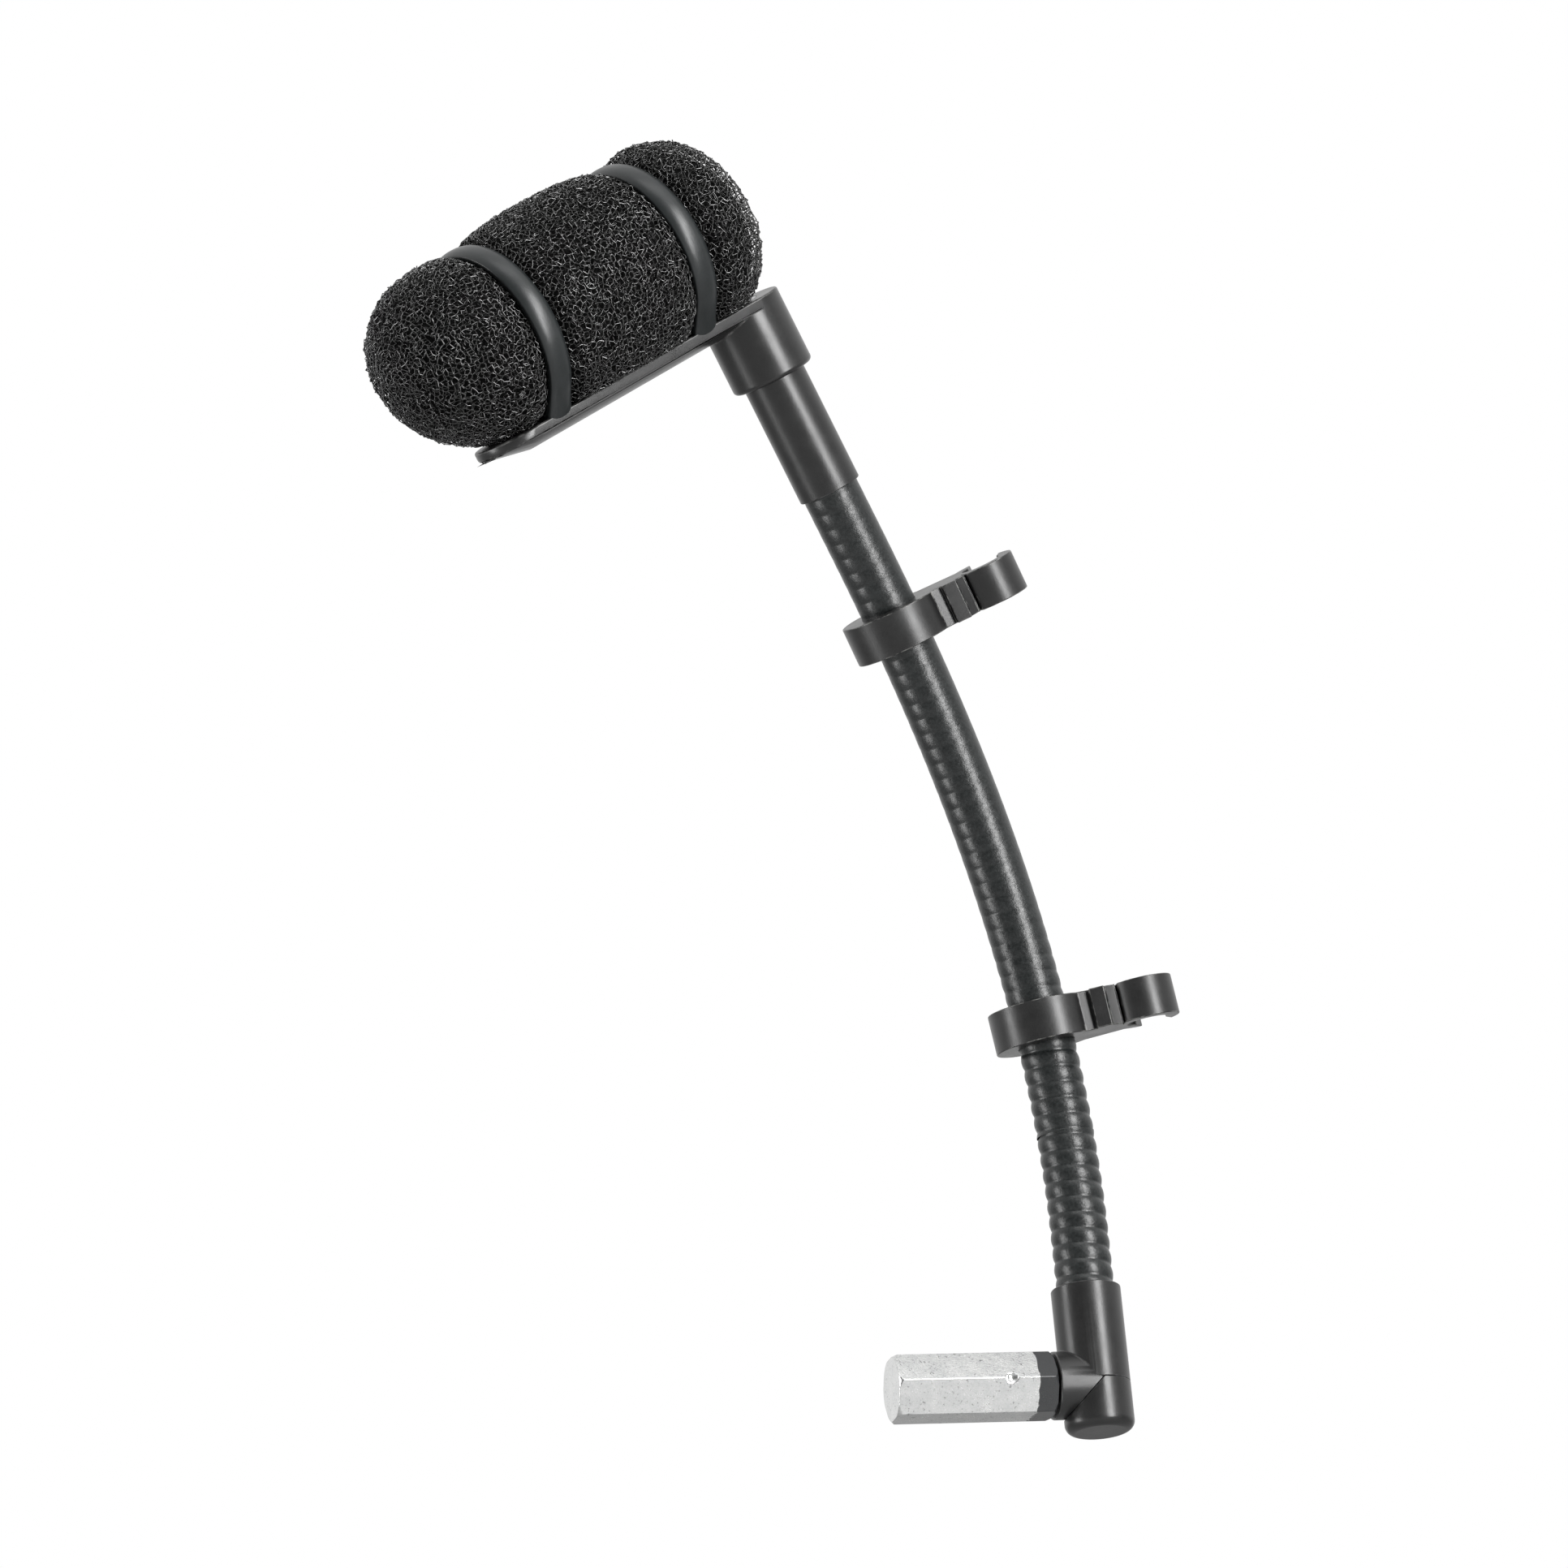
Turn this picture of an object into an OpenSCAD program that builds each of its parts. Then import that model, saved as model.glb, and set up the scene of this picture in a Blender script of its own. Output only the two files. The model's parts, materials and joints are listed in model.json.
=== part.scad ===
// Clip-on gooseneck microphone: a foam-covered capsule in a rubber-hooped cradle,
// carried by a jacketed spring neck on an elbow with a hexagonal stud.
// The elbow stands along +Z, the stud points along -X, and their axes cross at the origin.

/* [Hex stud] */
// Width of the hexagon across its flats
hex_af = 6.35; // [5.5:0.05:7]
// Length of the bare hexagon
hex_bare_l = 14.8; // [12:0.1:20]
// Length of the painted root of the hexagon
hex_root_l = 2; // [1:0.1:4]
// Chamfer round both ends of the hexagon
hex_chamfer = 0.4; // [0.2:0.05:0.8]
// Diameter of the shank that enters the elbow
shank_d = 3.2; // [2.5:0.1:4]
// Length of the shank inside the collar
shank_l = 4; // [2.5:0.1:6]
// Distance of the punched dimple from the hexagon's free end
dimple_x = 11.8; // [6:0.1:13]
// Diameter of the punch that made the dimple
dimple_d = 1.7; // [1:0.1:2]

/* [Elbow] */
// Diameter of the upright sleeve
elbow_d = 7.2; // [6.8:0.1:9]
// Height of the sleeve's rim above the stud's axis
elbow_h = 10.2; // [8:0.1:14]
// Depth of the elbow below the stud's axis
elbow_drop = 5; // [4.6:0.1:7]
// Distance from the upright axis to the collar's face
collar_l = 4.6; // [4.2:0.1:6]
// How much thinner the collar is than the sleeve
collar_step = 0.1; // [0.05:0.05:0.4]
// Depth of the shadow groove between collar and hexagon
groove_l = 0.2; // [0.1:0.05:0.4]
// Radius of the rounding under the elbow
elbow_round = 1; // [0.4:0.1:1.6]

/* [Neck] */
// Outer diameter of the rubber jacket
jacket_d = 5.9; // [5:0.1:6.2]
// Outer diameter of the wound core
core_d = 4.5; // [4:0.1:4.8]
// Bore of the wound core
core_bore = 1.8; // [1.4:0.1:2.6]
// Pitch of the core's winding
rib_pitch = 1.7; // [1.4:0.1:2.2]
// Depth of the grooves between the core's turns
rib_depth = 0.3; // [0.1:0.05:0.45]
// Length of the free neck between elbow and top sleeve
neck_l = 88.6; // [75:0.1:120]
// Total lean of the neck's top from upright, in degrees
neck_bend = 36; // [0:1:45]
// Heading of the bend from the stud's side, in degrees
bend_heading = 37; // [0:1:60]
// How strongly the bend gathers near the elbow, where 1 is an even arc
bend_bias = 1.33; // [1:0.01:1.8]
// Half of the angle that each link can turn, with its rest bend, in degrees
link_relief = 17; // [16:1:20]
// Length of jacket held inside the elbow and inside the top sleeve
jacket_grip = 5; // [3:0.1:5.5]

/* [Top sleeve and swivel] */
// Outer diameter of the top sleeve
sleeve_d = 6.7; // [6.6:0.1:8]
// Length of sleeve that shows between neck and cradle boss
sleeve_show_l = 13; // [10:0.5:18]
// Length of sleeve inside the cradle boss
sleeve_in_l = 5; // [3:0.5:6]
// Diameter of the swivel screw's shank
screw_d = 1.9; // [1.6:0.1:2.2]
// Diameter of the swivel screw's head
screw_head_d = 4.2; // [3.6:0.1:4.8]
// Height of the swivel screw's head
screw_head_h = 0.8; // [0.6:0.1:1]
// Thickness of the friction washer
washer_t = 0.4; // [0.2:0.05:0.6]

/* [Cradle] */
// Diameter of the cradle's boss
boss_d = 8.9; // [8.5:0.1:10]
// Height of the boss with the rail on top
boss_h = 8.4; // [8:0.1:11]
// Thickness of the rail's straight side
rail_side_t = 1; // [0.8:0.1:1.5]
// Depth of the rail's rounded belly
rail_belly_t = 1.2; // [0.6:0.1:1.5]
// Length of the rail's tip over which the belly rises
rail_taper_l = 5; // [3:0.5:8]
// Step between the rail's side and its belly
rail_step = 0.25; // [0.1:0.05:0.5]
// Distance from the boss axis to the tip of the rail
rail_reach = 35.2; // [32:0.5:42]
// Turn of the cradle about the neck's top, in degrees
cradle_turn = 156.5; // [100:0.5:220]

/* [Hoops] */
// Width of each rubber hoop
hoop_w = 2.7; // [2:0.1:3.5]
// Outer radius of each hoop
hoop_r = 10; // [9.6:0.1:11]
// Thickness of each hoop
hoop_t = 1.1; // [0.8:0.1:1.4]
// Distance from the boss axis to the rear hoop
rear_hoop_x = 7.4; // [6.5:0.1:9]
// Spacing of the two hoops
hoop_gap = 19.8; // [16:0.1:22]
// Depth of the hoops' tenons in the rail
tenon_t = 0.5; // [0.3:0.05:0.7]

/* [Foam windscreen] */
// Outer radius of the foam's lobes
foam_r = 9.9; // [9.5:0.1:10.5]
// Length of the foam
foam_l = 45.2; // [42:0.5:50]
// How far the foam reaches behind the boss axis
foam_back = 4.2; // [3:0.5:6]
// Radius of the rounding at the foam's ends
foam_round = 6; // [4:0.5:6.5]
// Height of the microphone's axis above the rail
axis_h = 9.2; // [9:0.1:10]

/* [Microphone] */
// Outer diameter of the microphone's housing
mic_d = 12.2; // [11:0.1:12.6]
// Length of the microphone from rear cap to grille
mic_l = 38.5; // [34:0.1:40]
// Wall of the housing
mic_wall = 0.6; // [0.5:0.05:1]
// Outer diameter of the capsule can
capsule_d = 9.7; // [8.8:0.1:9.8]
// Length of the capsule can
capsule_l = 4.2; // [3.5:0.1:6]
// Length of the preamplifier board
board_l = 21; // [16:0.5:24]
// Bore of the cable gland
gland_bore = 2.4; // [2:0.1:3]

/* [Cable clips] */
// Height of a clip along the neck
clip_h = 4.2; // [3:0.1:5]
// Outer radius of the ring round the neck
clip_ring_r = 5.3; // [4.8:0.1:6]
// Bore radius of the cable hook
hook_r = 2.1; // [1.6:0.1:2.4]
// Wall of the cable hook
hook_wall = 1.4; // [1:0.1:1.8]
// Distance from the neck's axis to the hook's axis
hook_reach = 10.7; // [10.2:0.1:12]
// Heading of the hook's mouth from the clip's own line, in degrees
hook_mouth_turn = 70; // [20:1:80]
// Height of a clip above the middle of its link
clip_rise = 0.7; // [0:0.1:1]
// Heading of the lower clip's hook about its link, in degrees
lower_clip_turn = -55; // [-180:1:180]
// Heading of the upper clip's hook about its link, in degrees
upper_clip_turn = -47.5; // [-180:1:180]

/* [Fits] */
// Radial clearance of a running fit
run_fit = 0.05; // [0.02:0.01:0.1]
// Gap between neighbouring links at the pivot
pivot_gap = 0.12; // [0.08:0.01:0.2]
// Clearance between a soft piece and what it rests on
soft_gap = 0.1; // [0.05:0.01:0.2]

/* [Hidden] */
$fn = 96;
links = 8;
lower_clip_link = 3;
upper_clip_link = 7;
link_l = neck_l / links;
ends = [for (i = [1:links]) i];

elbow_r = elbow_d / 2;
collar_r = elbow_r - collar_step;
hex_r = hex_af / 2 / cos(30);
hex_l = hex_bare_l + hex_root_l;
hex_root_x = -collar_l - groove_l;
hex_end_x = hex_root_x - hex_l;
pin_d = 1.2;
pin_inset = 1.4;
pin_x = -collar_l + pin_inset;
pin_l = 2 * (-pin_x - pin_d / 2) - 0.2;
grip_bore_r = jacket_d / 2 + run_fit;
ferrule_t = 1.2;

jacket_bore = core_d + 2 * run_fit;
relief = tan(link_relief);
plug_l = 3.5;

sleeve_l = sleeve_show_l + sleeve_in_l;
sleeve_r = sleeve_d / 2;
screw_l = sleeve_in_l + 3.6;
boss_base = sleeve_show_l + run_fit;
rail_top = boss_base + boss_h;
rail_w = boss_d;
rail_end_x = rail_reach - rail_w / 2;
washer_base = sleeve_l + run_fit;
shoulder = washer_base + washer_t + run_fit;
head_seat = rail_top - screw_head_h - run_fit;
axis_z = rail_top + axis_h;
front_hoop_x = rear_hoop_x + hoop_gap;
tenon_w = rail_w - 2;

foam_front_x = foam_l - foam_back;
foam_waist_r = hoop_r - hoop_t - run_fit;
mic_rear_x = -foam_back + 3.2;
mic_front_x = mic_rear_x + mic_l;
mic_bore = mic_d - 2 * mic_wall;
foam_bore_r = mic_d / 2 + run_fit;
grille_t = 0.8;
cap_t = 2.4;
gasket_t = 0.8;
capsule_x = mic_front_x - grille_t - gasket_t - capsule_l;
board_x = mic_rear_x + cap_t + 3;
board_w = mic_bore - 1.6;
diaphragm_t = 0.1;
backplate_t = 0.7;
can_wall = 0.35;

// Lean of link i: the first stands upright in the elbow, and the last has the whole bend
function link_lean(i) = neck_bend * (1 - pow(1 - (i - 1) / (links - 1), bend_bias));

// Distance sideways and height of the lower end of link i
function link_out(i) = i <= 1 ? 0 : link_out(i - 1) + link_l * sin(link_lean(i - 1));
function link_up(i) = i <= 1 ? elbow_h : link_up(i - 1) + link_l * cos(link_lean(i - 1));

// Places children on link i, with the link's lower end at the origin and its axis on Z
module on_link(i) {
    rotate([0, 0, bend_heading])
        translate([-link_out(i), 0, link_up(i)])
            rotate([0, -link_lean(i), 0])
                children();
}

// Places children on the neck's top, and in the cradle's frame with the rail along X
module on_top() {
    on_link(links)
        translate([0, 0, link_l])
            children();
}
module on_cradle() {
    on_top()
        rotate([0, 0, cradle_turn])
            children();
}

// Places children on the microphone's axis, which becomes Z, at a distance from the boss
module on_mic(x) {
    on_cradle()
        translate([x, 0, axis_z])
            rotate([0, 90, 0])
                children();
}

module tube(outer_r, inner_r, l) {
    difference() {
        cylinder(r = outer_r, h = l);
        translate([0, 0, -1])
            cylinder(r = inner_r, h = l + 2);
    }
}

// ---- Elbow and stud ----

module elbow_outline() {
    turn = elbow_round;
    arc_n = 12;
    polygon(concat(
        [[0, 0], [0, -elbow_drop], [elbow_r - turn, -elbow_drop]],
        [for (k = [1:arc_n]) [elbow_r - turn + turn * sin(90 * k / arc_n),
                              -elbow_drop + turn - turn * cos(90 * k / arc_n)]],
        [[elbow_r, 0]]));
}

// The part of space below the stud's axis that the collar keeps
module mitre() {
    reach = elbow_d * 2;
    rotate([90, 0, 0])
        linear_extrude(height = reach, center = true)
            polygon([[0, 0], [-reach, 0], [-reach, -reach]]);
}

module stud_bore() {
    translate([-collar_l - 1, 0, 0])
        rotate([0, 90, 0])
            cylinder(d = shank_d + 2 * run_fit, h = shank_l + 1 + run_fit);
}

module pin_bore() {
    translate([pin_x, 0, -pin_l / 2 - run_fit])
        cylinder(d = pin_d + 2 * run_fit, h = pin_l + 2 * run_fit);
}

module elbow_body() {
    color([0.13, 0.13, 0.14])
        difference() {
            union() {
                cylinder(r = elbow_r, h = elbow_h);
                intersection() {
                    translate([-collar_l, 0, 0])
                        rotate([0, 90, 0])
                            cylinder(r = collar_r, h = collar_l);
                    union() {
                        mitre();
                        translate([-collar_l - 1, -elbow_r, 0])
                            cube([collar_l + 1, elbow_d, elbow_r]);
                    }
                }
            }
            translate([0, 0, elbow_h - jacket_grip - ferrule_t])
                cylinder(r = grip_bore_r, h = jacket_grip + ferrule_t + 1);
            stud_bore();
            pin_bore();
        }
}

module elbow_cap() {
    color([0.12, 0.12, 0.13])
        difference() {
            rotate_extrude()
                elbow_outline();
            mitre();
            stud_bore();
        }
}

module hex_stud() {
    end_r = hex_r - hex_chamfer;
    color([0.75, 0.76, 0.76])
        difference() {
            union() {
                intersection() {
                    translate([hex_end_x, 0, 0])
                        rotate([0, 90, 0])
                            rotate([0, 0, 30])
                                cylinder(r = hex_r, h = hex_l, $fn = 6);
                    translate([hex_end_x, 0, 0])
                        rotate([0, 90, 0])
                            rotate_extrude()
                                polygon([[0, 0], [end_r, 0], [hex_r + 0.1, hex_chamfer + 0.1],
                                         [hex_r + 0.1, hex_l - hex_chamfer - 0.1],
                                         [end_r, hex_l], [0, hex_l]]);
                }
                translate([hex_root_x - 0.5, 0, 0])
                    rotate([0, 90, 0])
                        cylinder(d = shank_d, h = shank_l + groove_l + 0.5);
            }
            translate([hex_end_x + dimple_x, -hex_r - dimple_d / 5, 0])
                sphere(d = dimple_d);
            pin_bore();
        }
}

module stud_pin() {
    color([0.6, 0.6, 0.62])
        translate([pin_x, 0, -pin_l / 2])
            cylinder(d = pin_d, h = pin_l);
}

// ---- Neck ----

// The space that link i may fill out to radius r: pointed at its pivots, square in its sleeves
module link_space(i, r) {
    low = i == 1 ? -jacket_grip : pivot_gap / 2;
    high = i == links ? link_l + jacket_grip : link_l - pivot_gap / 2;
    low_edge = i == 1 ? low : low + relief * r;
    high_edge = i == links ? high : high - relief * r;
    rotate_extrude()
        polygon([[0, low], [r, low_edge], [r, high_edge], [0, high]]);
}

module neck_jacket(i) {
    reach = jacket_grip + 1;
    color([0.15, 0.16, 0.16])
        on_link(i)
            difference() {
                link_space(i, jacket_d / 2);
                translate([0, 0, -reach])
                    cylinder(d = jacket_bore, h = link_l + 2 * reach);
            }
}

// One turn after another of the wound core, with its ends hollowed towards the pivots
module core_winding(low, high, low_slope, high_slope) {
    r = core_d / 2;
    reach = r - core_bore / 2;
    turns = floor((high - low) / rib_pitch);
    pitch = (high - low) / turns;
    steps = 4;
    rotate_extrude()
        polygon(concat(
            [[core_bore / 2, low - low_slope * reach]],
            [for (k = [0:turns * steps])
                [r - rib_depth * (0.5 + 0.5 * cos(360 * k / steps)), low + pitch * k / steps]],
            [[core_bore / 2, high + high_slope * reach]]));
}

module neck_core(i) {
    edge = pivot_gap / 2 + relief * core_d / 2;
    low = i == 1 ? -jacket_grip : edge;
    high = i == links ? link_l + jacket_grip : link_l - edge;
    color([0.5, 0.5, 0.52])
        on_link(i)
            core_winding(low, high, i == 1 ? 0 : relief, i == links ? 0 : relief);
}

// A flanged plug that closes an end of the core, with its flange at z = 0 and below
module ferrule() {
    translate([0, 0, -ferrule_t])
        cylinder(d = jacket_d, h = ferrule_t);
    cylinder(r = core_bore / 2 - run_fit, h = plug_l);
}

module bottom_ferrule() {
    color([0.6, 0.56, 0.42])
        translate([0, 0, elbow_h - jacket_grip])
            ferrule();
}

module top_ferrule() {
    color([0.6, 0.56, 0.42])
        on_top()
            translate([0, 0, jacket_grip])
                rotate([180, 0, 0])
                    ferrule();
}

// ---- Top sleeve and swivel ----

module top_sleeve() {
    color([0.14, 0.14, 0.15])
        on_top()
            difference() {
                cylinder(r = sleeve_r, h = sleeve_l);
                translate([0, 0, -1])
                    cylinder(r = grip_bore_r, h = jacket_grip + ferrule_t + 1);
                translate([0, 0, sleeve_l - screw_l + screw_head_h])
                    cylinder(d = screw_d + 2 * run_fit, h = screw_l);
            }
}

module swivel_screw() {
    color([0.6, 0.6, 0.62])
        on_top() {
            translate([0, 0, sleeve_l - screw_l + screw_head_h + 0.4])
                cylinder(d = screw_d, h = head_seat - sleeve_l + screw_l - screw_head_h);
            difference() {
                translate([0, 0, head_seat + run_fit / 2])
                    cylinder(d = screw_head_d, h = screw_head_h);
                for (turn = [0, 90])
                    rotate([0, 0, turn])
                        translate([-1.2, -0.2, head_seat + screw_head_h / 2])
                            cube([2.4, 0.4, screw_head_h]);
            }
        }
}

module friction_washer() {
    color([0.7, 0.68, 0.6])
        on_top()
            translate([0, 0, washer_base])
                tube(sleeve_r - run_fit, screw_d / 2 + 2 * run_fit, washer_t);
}

// ---- Cradle ----

module rail_outline(inset) {
    r = rail_w / 2 - inset;
    circle(r = r);
    translate([rail_end_x, 0])
        circle(r = r);
    translate([0, -r])
        square([rail_end_x, 2 * r]);
}

// The rounded belly under the rail, a slice of a wide cylinder that rises toward the rail's tip
module rail_belly() {
    half_w = rail_w / 2 - rail_step;
    tip_x = rail_end_x + half_w;
    taper_x = tip_x - rail_taper_l;
    belly_r = (half_w * half_w + rail_belly_t * rail_belly_t) / (2 * rail_belly_t);
    side_z = rail_top - rail_side_t;
    intersection() {
        translate([0, 0, side_z - rail_belly_t])
            linear_extrude(height = rail_belly_t)
                rail_outline(rail_step);
        translate([-rail_w, 0, side_z - rail_belly_t + belly_r])
            rotate([0, 90, 0]) {
                cylinder(r = belly_r, h = taper_x + rail_w);
                translate([0, 0, taper_x + rail_w])
                    cylinder(r1 = belly_r, r2 = belly_r - rail_belly_t * 0.9, h = rail_taper_l + 0.1);
            }
    }
}

module boss() {
    turn = 0.5;
    r = boss_d / 2;
    arc_n = 8;
    rotate_extrude()
        polygon(concat(
            [[0, boss_base], [r - turn, boss_base]],
            [for (k = [1:arc_n]) [r - turn + turn * sin(90 * k / arc_n),
                                  boss_base + turn - turn * cos(90 * k / arc_n)]],
            [[r, rail_top - rail_side_t / 2], [0, rail_top - rail_side_t / 2]]));
}

module tenon(x, gap) {
    translate([x - hoop_w / 2 - gap, -tenon_w / 2 - gap, rail_top - tenon_t - gap])
        cube([hoop_w + 2 * gap, tenon_w + 2 * gap, tenon_t + 2 * gap]);
}

module cradle() {
    color([0.16, 0.17, 0.17])
        on_cradle()
            difference() {
                union() {
                    boss();
                    rail_belly();
                    translate([0, 0, rail_top - rail_side_t])
                        linear_extrude(height = rail_side_t)
                            rail_outline(0);
                }
                translate([0, 0, boss_base - 1])
                    cylinder(r = sleeve_r + run_fit, h = shoulder - boss_base + 1);
                cylinder(d = screw_d + 4 * run_fit, h = rail_top + 1);
                translate([0, 0, head_seat])
                    cylinder(d = screw_head_d + 2 * run_fit, h = screw_head_h + 1);
                tenon(rear_hoop_x, 0.02);
                tenon(front_hoop_x, 0.02);
            }
}

module hoop(x) {
    on_cradle() {
        difference() {
            translate([x - hoop_w / 2, 0, axis_z])
                rotate([0, 90, 0])
                    tube(hoop_r, hoop_r - hoop_t, hoop_w);
            translate([x - hoop_w, -hoop_r, rail_top - hoop_r])
                cube([hoop_w * 2, hoop_r * 2, hoop_r]);
        }
        tenon(x, 0);
    }
}

module front_hoop() {
    color([0.18, 0.19, 0.19])
        hoop(front_hoop_x);
}

module rear_hoop() {
    color([0.18, 0.19, 0.19])
        hoop(rear_hoop_x);
}

// ---- Foam windscreen ----

// Outline of the foam from front to back, as a share of its length
function foam_edge(x) =
    let (from_front = foam_front_x - x)
    let (from_back = x + foam_back)
    let (near_end = min(from_front, from_back))
    near_end >= foam_round ? foam_r
        : foam_r - foam_round + sqrt(max(0, foam_round * foam_round - pow(foam_round - near_end, 2)));

module foam_outline() {
    arc_n = 8;
    polygon(concat(
        [[0, -foam_back]],
        [for (k = [0:arc_n])
            let (x = -foam_back + foam_round * (1 - cos(90 * k / arc_n)))
            [foam_edge(x), x]],
        [for (k = [0:arc_n])
            let (x = foam_front_x - foam_round * (1 - sin(90 * k / arc_n)))
            [foam_edge(x), x]],
        [[0, foam_front_x]]));
}

module hoop_waist(x) {
    waist_w = hoop_w + 2 * soft_gap;
    translate([0, 0, x - waist_w / 2])
        tube(foam_r + 2, foam_waist_r, waist_w);
}

module foam_windscreen() {
    color([0.07, 0.07, 0.07])
        difference() {
            on_mic(0)
                difference() {
                    rotate_extrude()
                        foam_outline();
                    translate([0, 0, -foam_back - 1])
                        cylinder(r = foam_bore_r, h = mic_front_x + foam_back + 1 + soft_gap);
                    hoop_waist(rear_hoop_x);
                    hoop_waist(front_hoop_x);
                }
            on_cradle()
                translate([-foam_l, -foam_l / 2, rail_top - foam_r + soft_gap])
                    cube([foam_l * 2, foam_l, foam_r]);
        }
}

// ---- Microphone ----

module mic_housing() {
    slot_count = 8;
    slot_l = 2;
    color([0.2, 0.2, 0.21])
        on_mic(mic_rear_x)
            difference() {
                translate([0, 0, cap_t])
                    tube(mic_d / 2, mic_bore / 2, mic_l - cap_t - grille_t);
                for (k = [1:slot_count])
                    rotate([0, 0, 360 * k / slot_count])
                        translate([mic_bore / 2 - 1, -0.4, mic_l - capsule_l - 6])
                            cube([mic_wall + 2, 0.8, slot_l]);
            }
}

module front_grille() {
    hole_d = 1.4;
    ring_r = 3.2;
    color([0.3, 0.3, 0.31])
        on_mic(mic_front_x - grille_t)
            difference() {
                cylinder(d = mic_d, h = grille_t);
                translate([0, 0, -1])
                    cylinder(d = hole_d, h = grille_t + 2);
                for (k = [1:6])
                    rotate([0, 0, 60 * k])
                        translate([ring_r, 0, -1])
                            cylinder(d = hole_d, h = grille_t + 2);
            }
}

module capsule_gasket() {
    color([0.1, 0.1, 0.1])
        on_mic(capsule_x + capsule_l)
            tube(mic_bore / 2 - run_fit, capsule_d / 2 - 0.6, gasket_t);
}

module capsule_can() {
    color([0.75, 0.75, 0.76])
        on_mic(capsule_x)
            difference() {
                cylinder(d = capsule_d, h = capsule_l);
                translate([0, 0, -1])
                    cylinder(r = capsule_d / 2 - can_wall, h = capsule_l + 1 - can_wall);
                cylinder(d = capsule_d / 3, h = capsule_l + 1);
            }
}

module diaphragm() {
    color([0.8, 0.7, 0.35])
        on_mic(capsule_x + capsule_l - can_wall - diaphragm_t - run_fit)
            cylinder(r = capsule_d / 2 - can_wall - run_fit, h = diaphragm_t);
}

module backplate() {
    gap = 0.3;
    color([0.7, 0.6, 0.35])
        on_mic(capsule_x + capsule_l - can_wall - diaphragm_t - run_fit - gap - backplate_t)
            difference() {
                cylinder(r = capsule_d / 2 - can_wall - run_fit, h = backplate_t);
                for (k = [1:4])
                    rotate([0, 0, 90 * k])
                        translate([capsule_d / 4, 0, -1])
                            cylinder(d = 1, h = backplate_t + 2);
            }
}

module preamp_board() {
    board_t = 0.8;
    part_h = 1.2;
    color([0.1, 0.35, 0.2])
        on_mic(board_x) {
            translate([-board_t / 2, -board_w / 2, 0])
                cube([board_t, board_w, board_l]);
            for (k = [0:3])
                translate([board_t / 2 - 0.1, -board_w / 4 + (k % 2) * 2, 2 + k * 4.5])
                    cube([part_h, 2, 2.6]);
        }
}

module rear_cap() {
    color([0.2, 0.2, 0.21])
        on_mic(mic_rear_x)
            difference() {
                union() {
                    cylinder(d = mic_d, h = cap_t);
                    translate([0, 0, cap_t])
                        cylinder(d = mic_bore - 2 * run_fit, h = 2.4);
                }
                translate([0, 0, -1])
                    cylinder(d = gland_bore + 3, h = 8);
            }
}

module cable_gland() {
    color([0.1, 0.1, 0.1])
        on_mic(mic_rear_x - 1.6)
            difference() {
                union() {
                    cylinder(d = gland_bore + 3 - 2 * run_fit, h = cap_t + 3);
                    cylinder(d = gland_bore + 4.6, h = 1.55);
                }
                translate([0, 0, -1])
                    cylinder(d = gland_bore, h = 10);
            }
}

// ---- Cable clips ----

// Plan of a clip: a ring open at the back for the neck, a stepped lip on its front, and a hook
module clip_plan() {
    neck_r = jacket_d / 2 + run_fit;
    hook_outer = hook_r + hook_wall;
    neck_mouth = 2 * neck_r * 0.78;
    hook_mouth = 2 * hook_r * 0.78;
    crease_x = hook_reach - hook_outer * 0.72;
    lip_y = -hook_outer;
    difference() {
        union() {
            circle(r = clip_ring_r);
            translate([hook_reach, 0])
                circle(r = hook_outer);
            polygon([[clip_ring_r - 1.6, lip_y + 0.2], [clip_ring_r + 0.2, lip_y + 0.7],
                     [clip_ring_r + 0.2, lip_y], [crease_x - 1.1, lip_y],
                     [crease_x - 1, lip_y + 0.5], [crease_x, lip_y + 1.1],
                     [hook_reach, lip_y + 2.4], [hook_reach, hook_outer - 0.6],
                     [crease_x, hook_outer - 1], [clip_ring_r - 1.6, hook_outer]]);
        }
        polygon([[crease_x, lip_y - 1], [crease_x, lip_y + 2.2], [crease_x + 0.7, lip_y - 1]]);
        circle(r = neck_r);
        translate([-neck_mouth / 2, 0])
            square([neck_mouth, clip_ring_r + 1]);
        translate([hook_reach, 0]) {
            circle(r = hook_r);
            rotate(hook_mouth_turn - 90)
                translate([-hook_mouth / 2, 0])
                    square([hook_mouth, hook_outer + 1]);
        }
    }
}

module clip(i, turn) {
    color([0.17, 0.17, 0.18])
        on_link(i)
            translate([0, 0, link_l / 2 + clip_rise - clip_h / 2])
                rotate([0, 0, turn])
                    linear_extrude(height = clip_h)
                        clip_plan();
}

module lower_clip() {
    clip(lower_clip_link, lower_clip_turn);
}

module upper_clip() {
    clip(upper_clip_link, upper_clip_turn);
}

elbow_body();
elbow_cap();
hex_stud();
stud_pin();
bottom_ferrule();
for (i = ends) neck_jacket(i);
for (i = ends) neck_core(i);
top_ferrule();
top_sleeve();
swivel_screw();
friction_washer();
cradle();
front_hoop();
rear_hoop();
foam_windscreen();
mic_housing();
front_grille();
capsule_gasket();
capsule_can();
diaphragm();
backplate();
preamp_board();
rear_cap();
cable_gland();
lower_clip();
upper_clip();
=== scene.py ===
# Clip-on gooseneck microphone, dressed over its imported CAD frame.
# Lengths are in metres; the sizes that a user would change are in millimetres times mm.
import json
import math
import random

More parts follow.
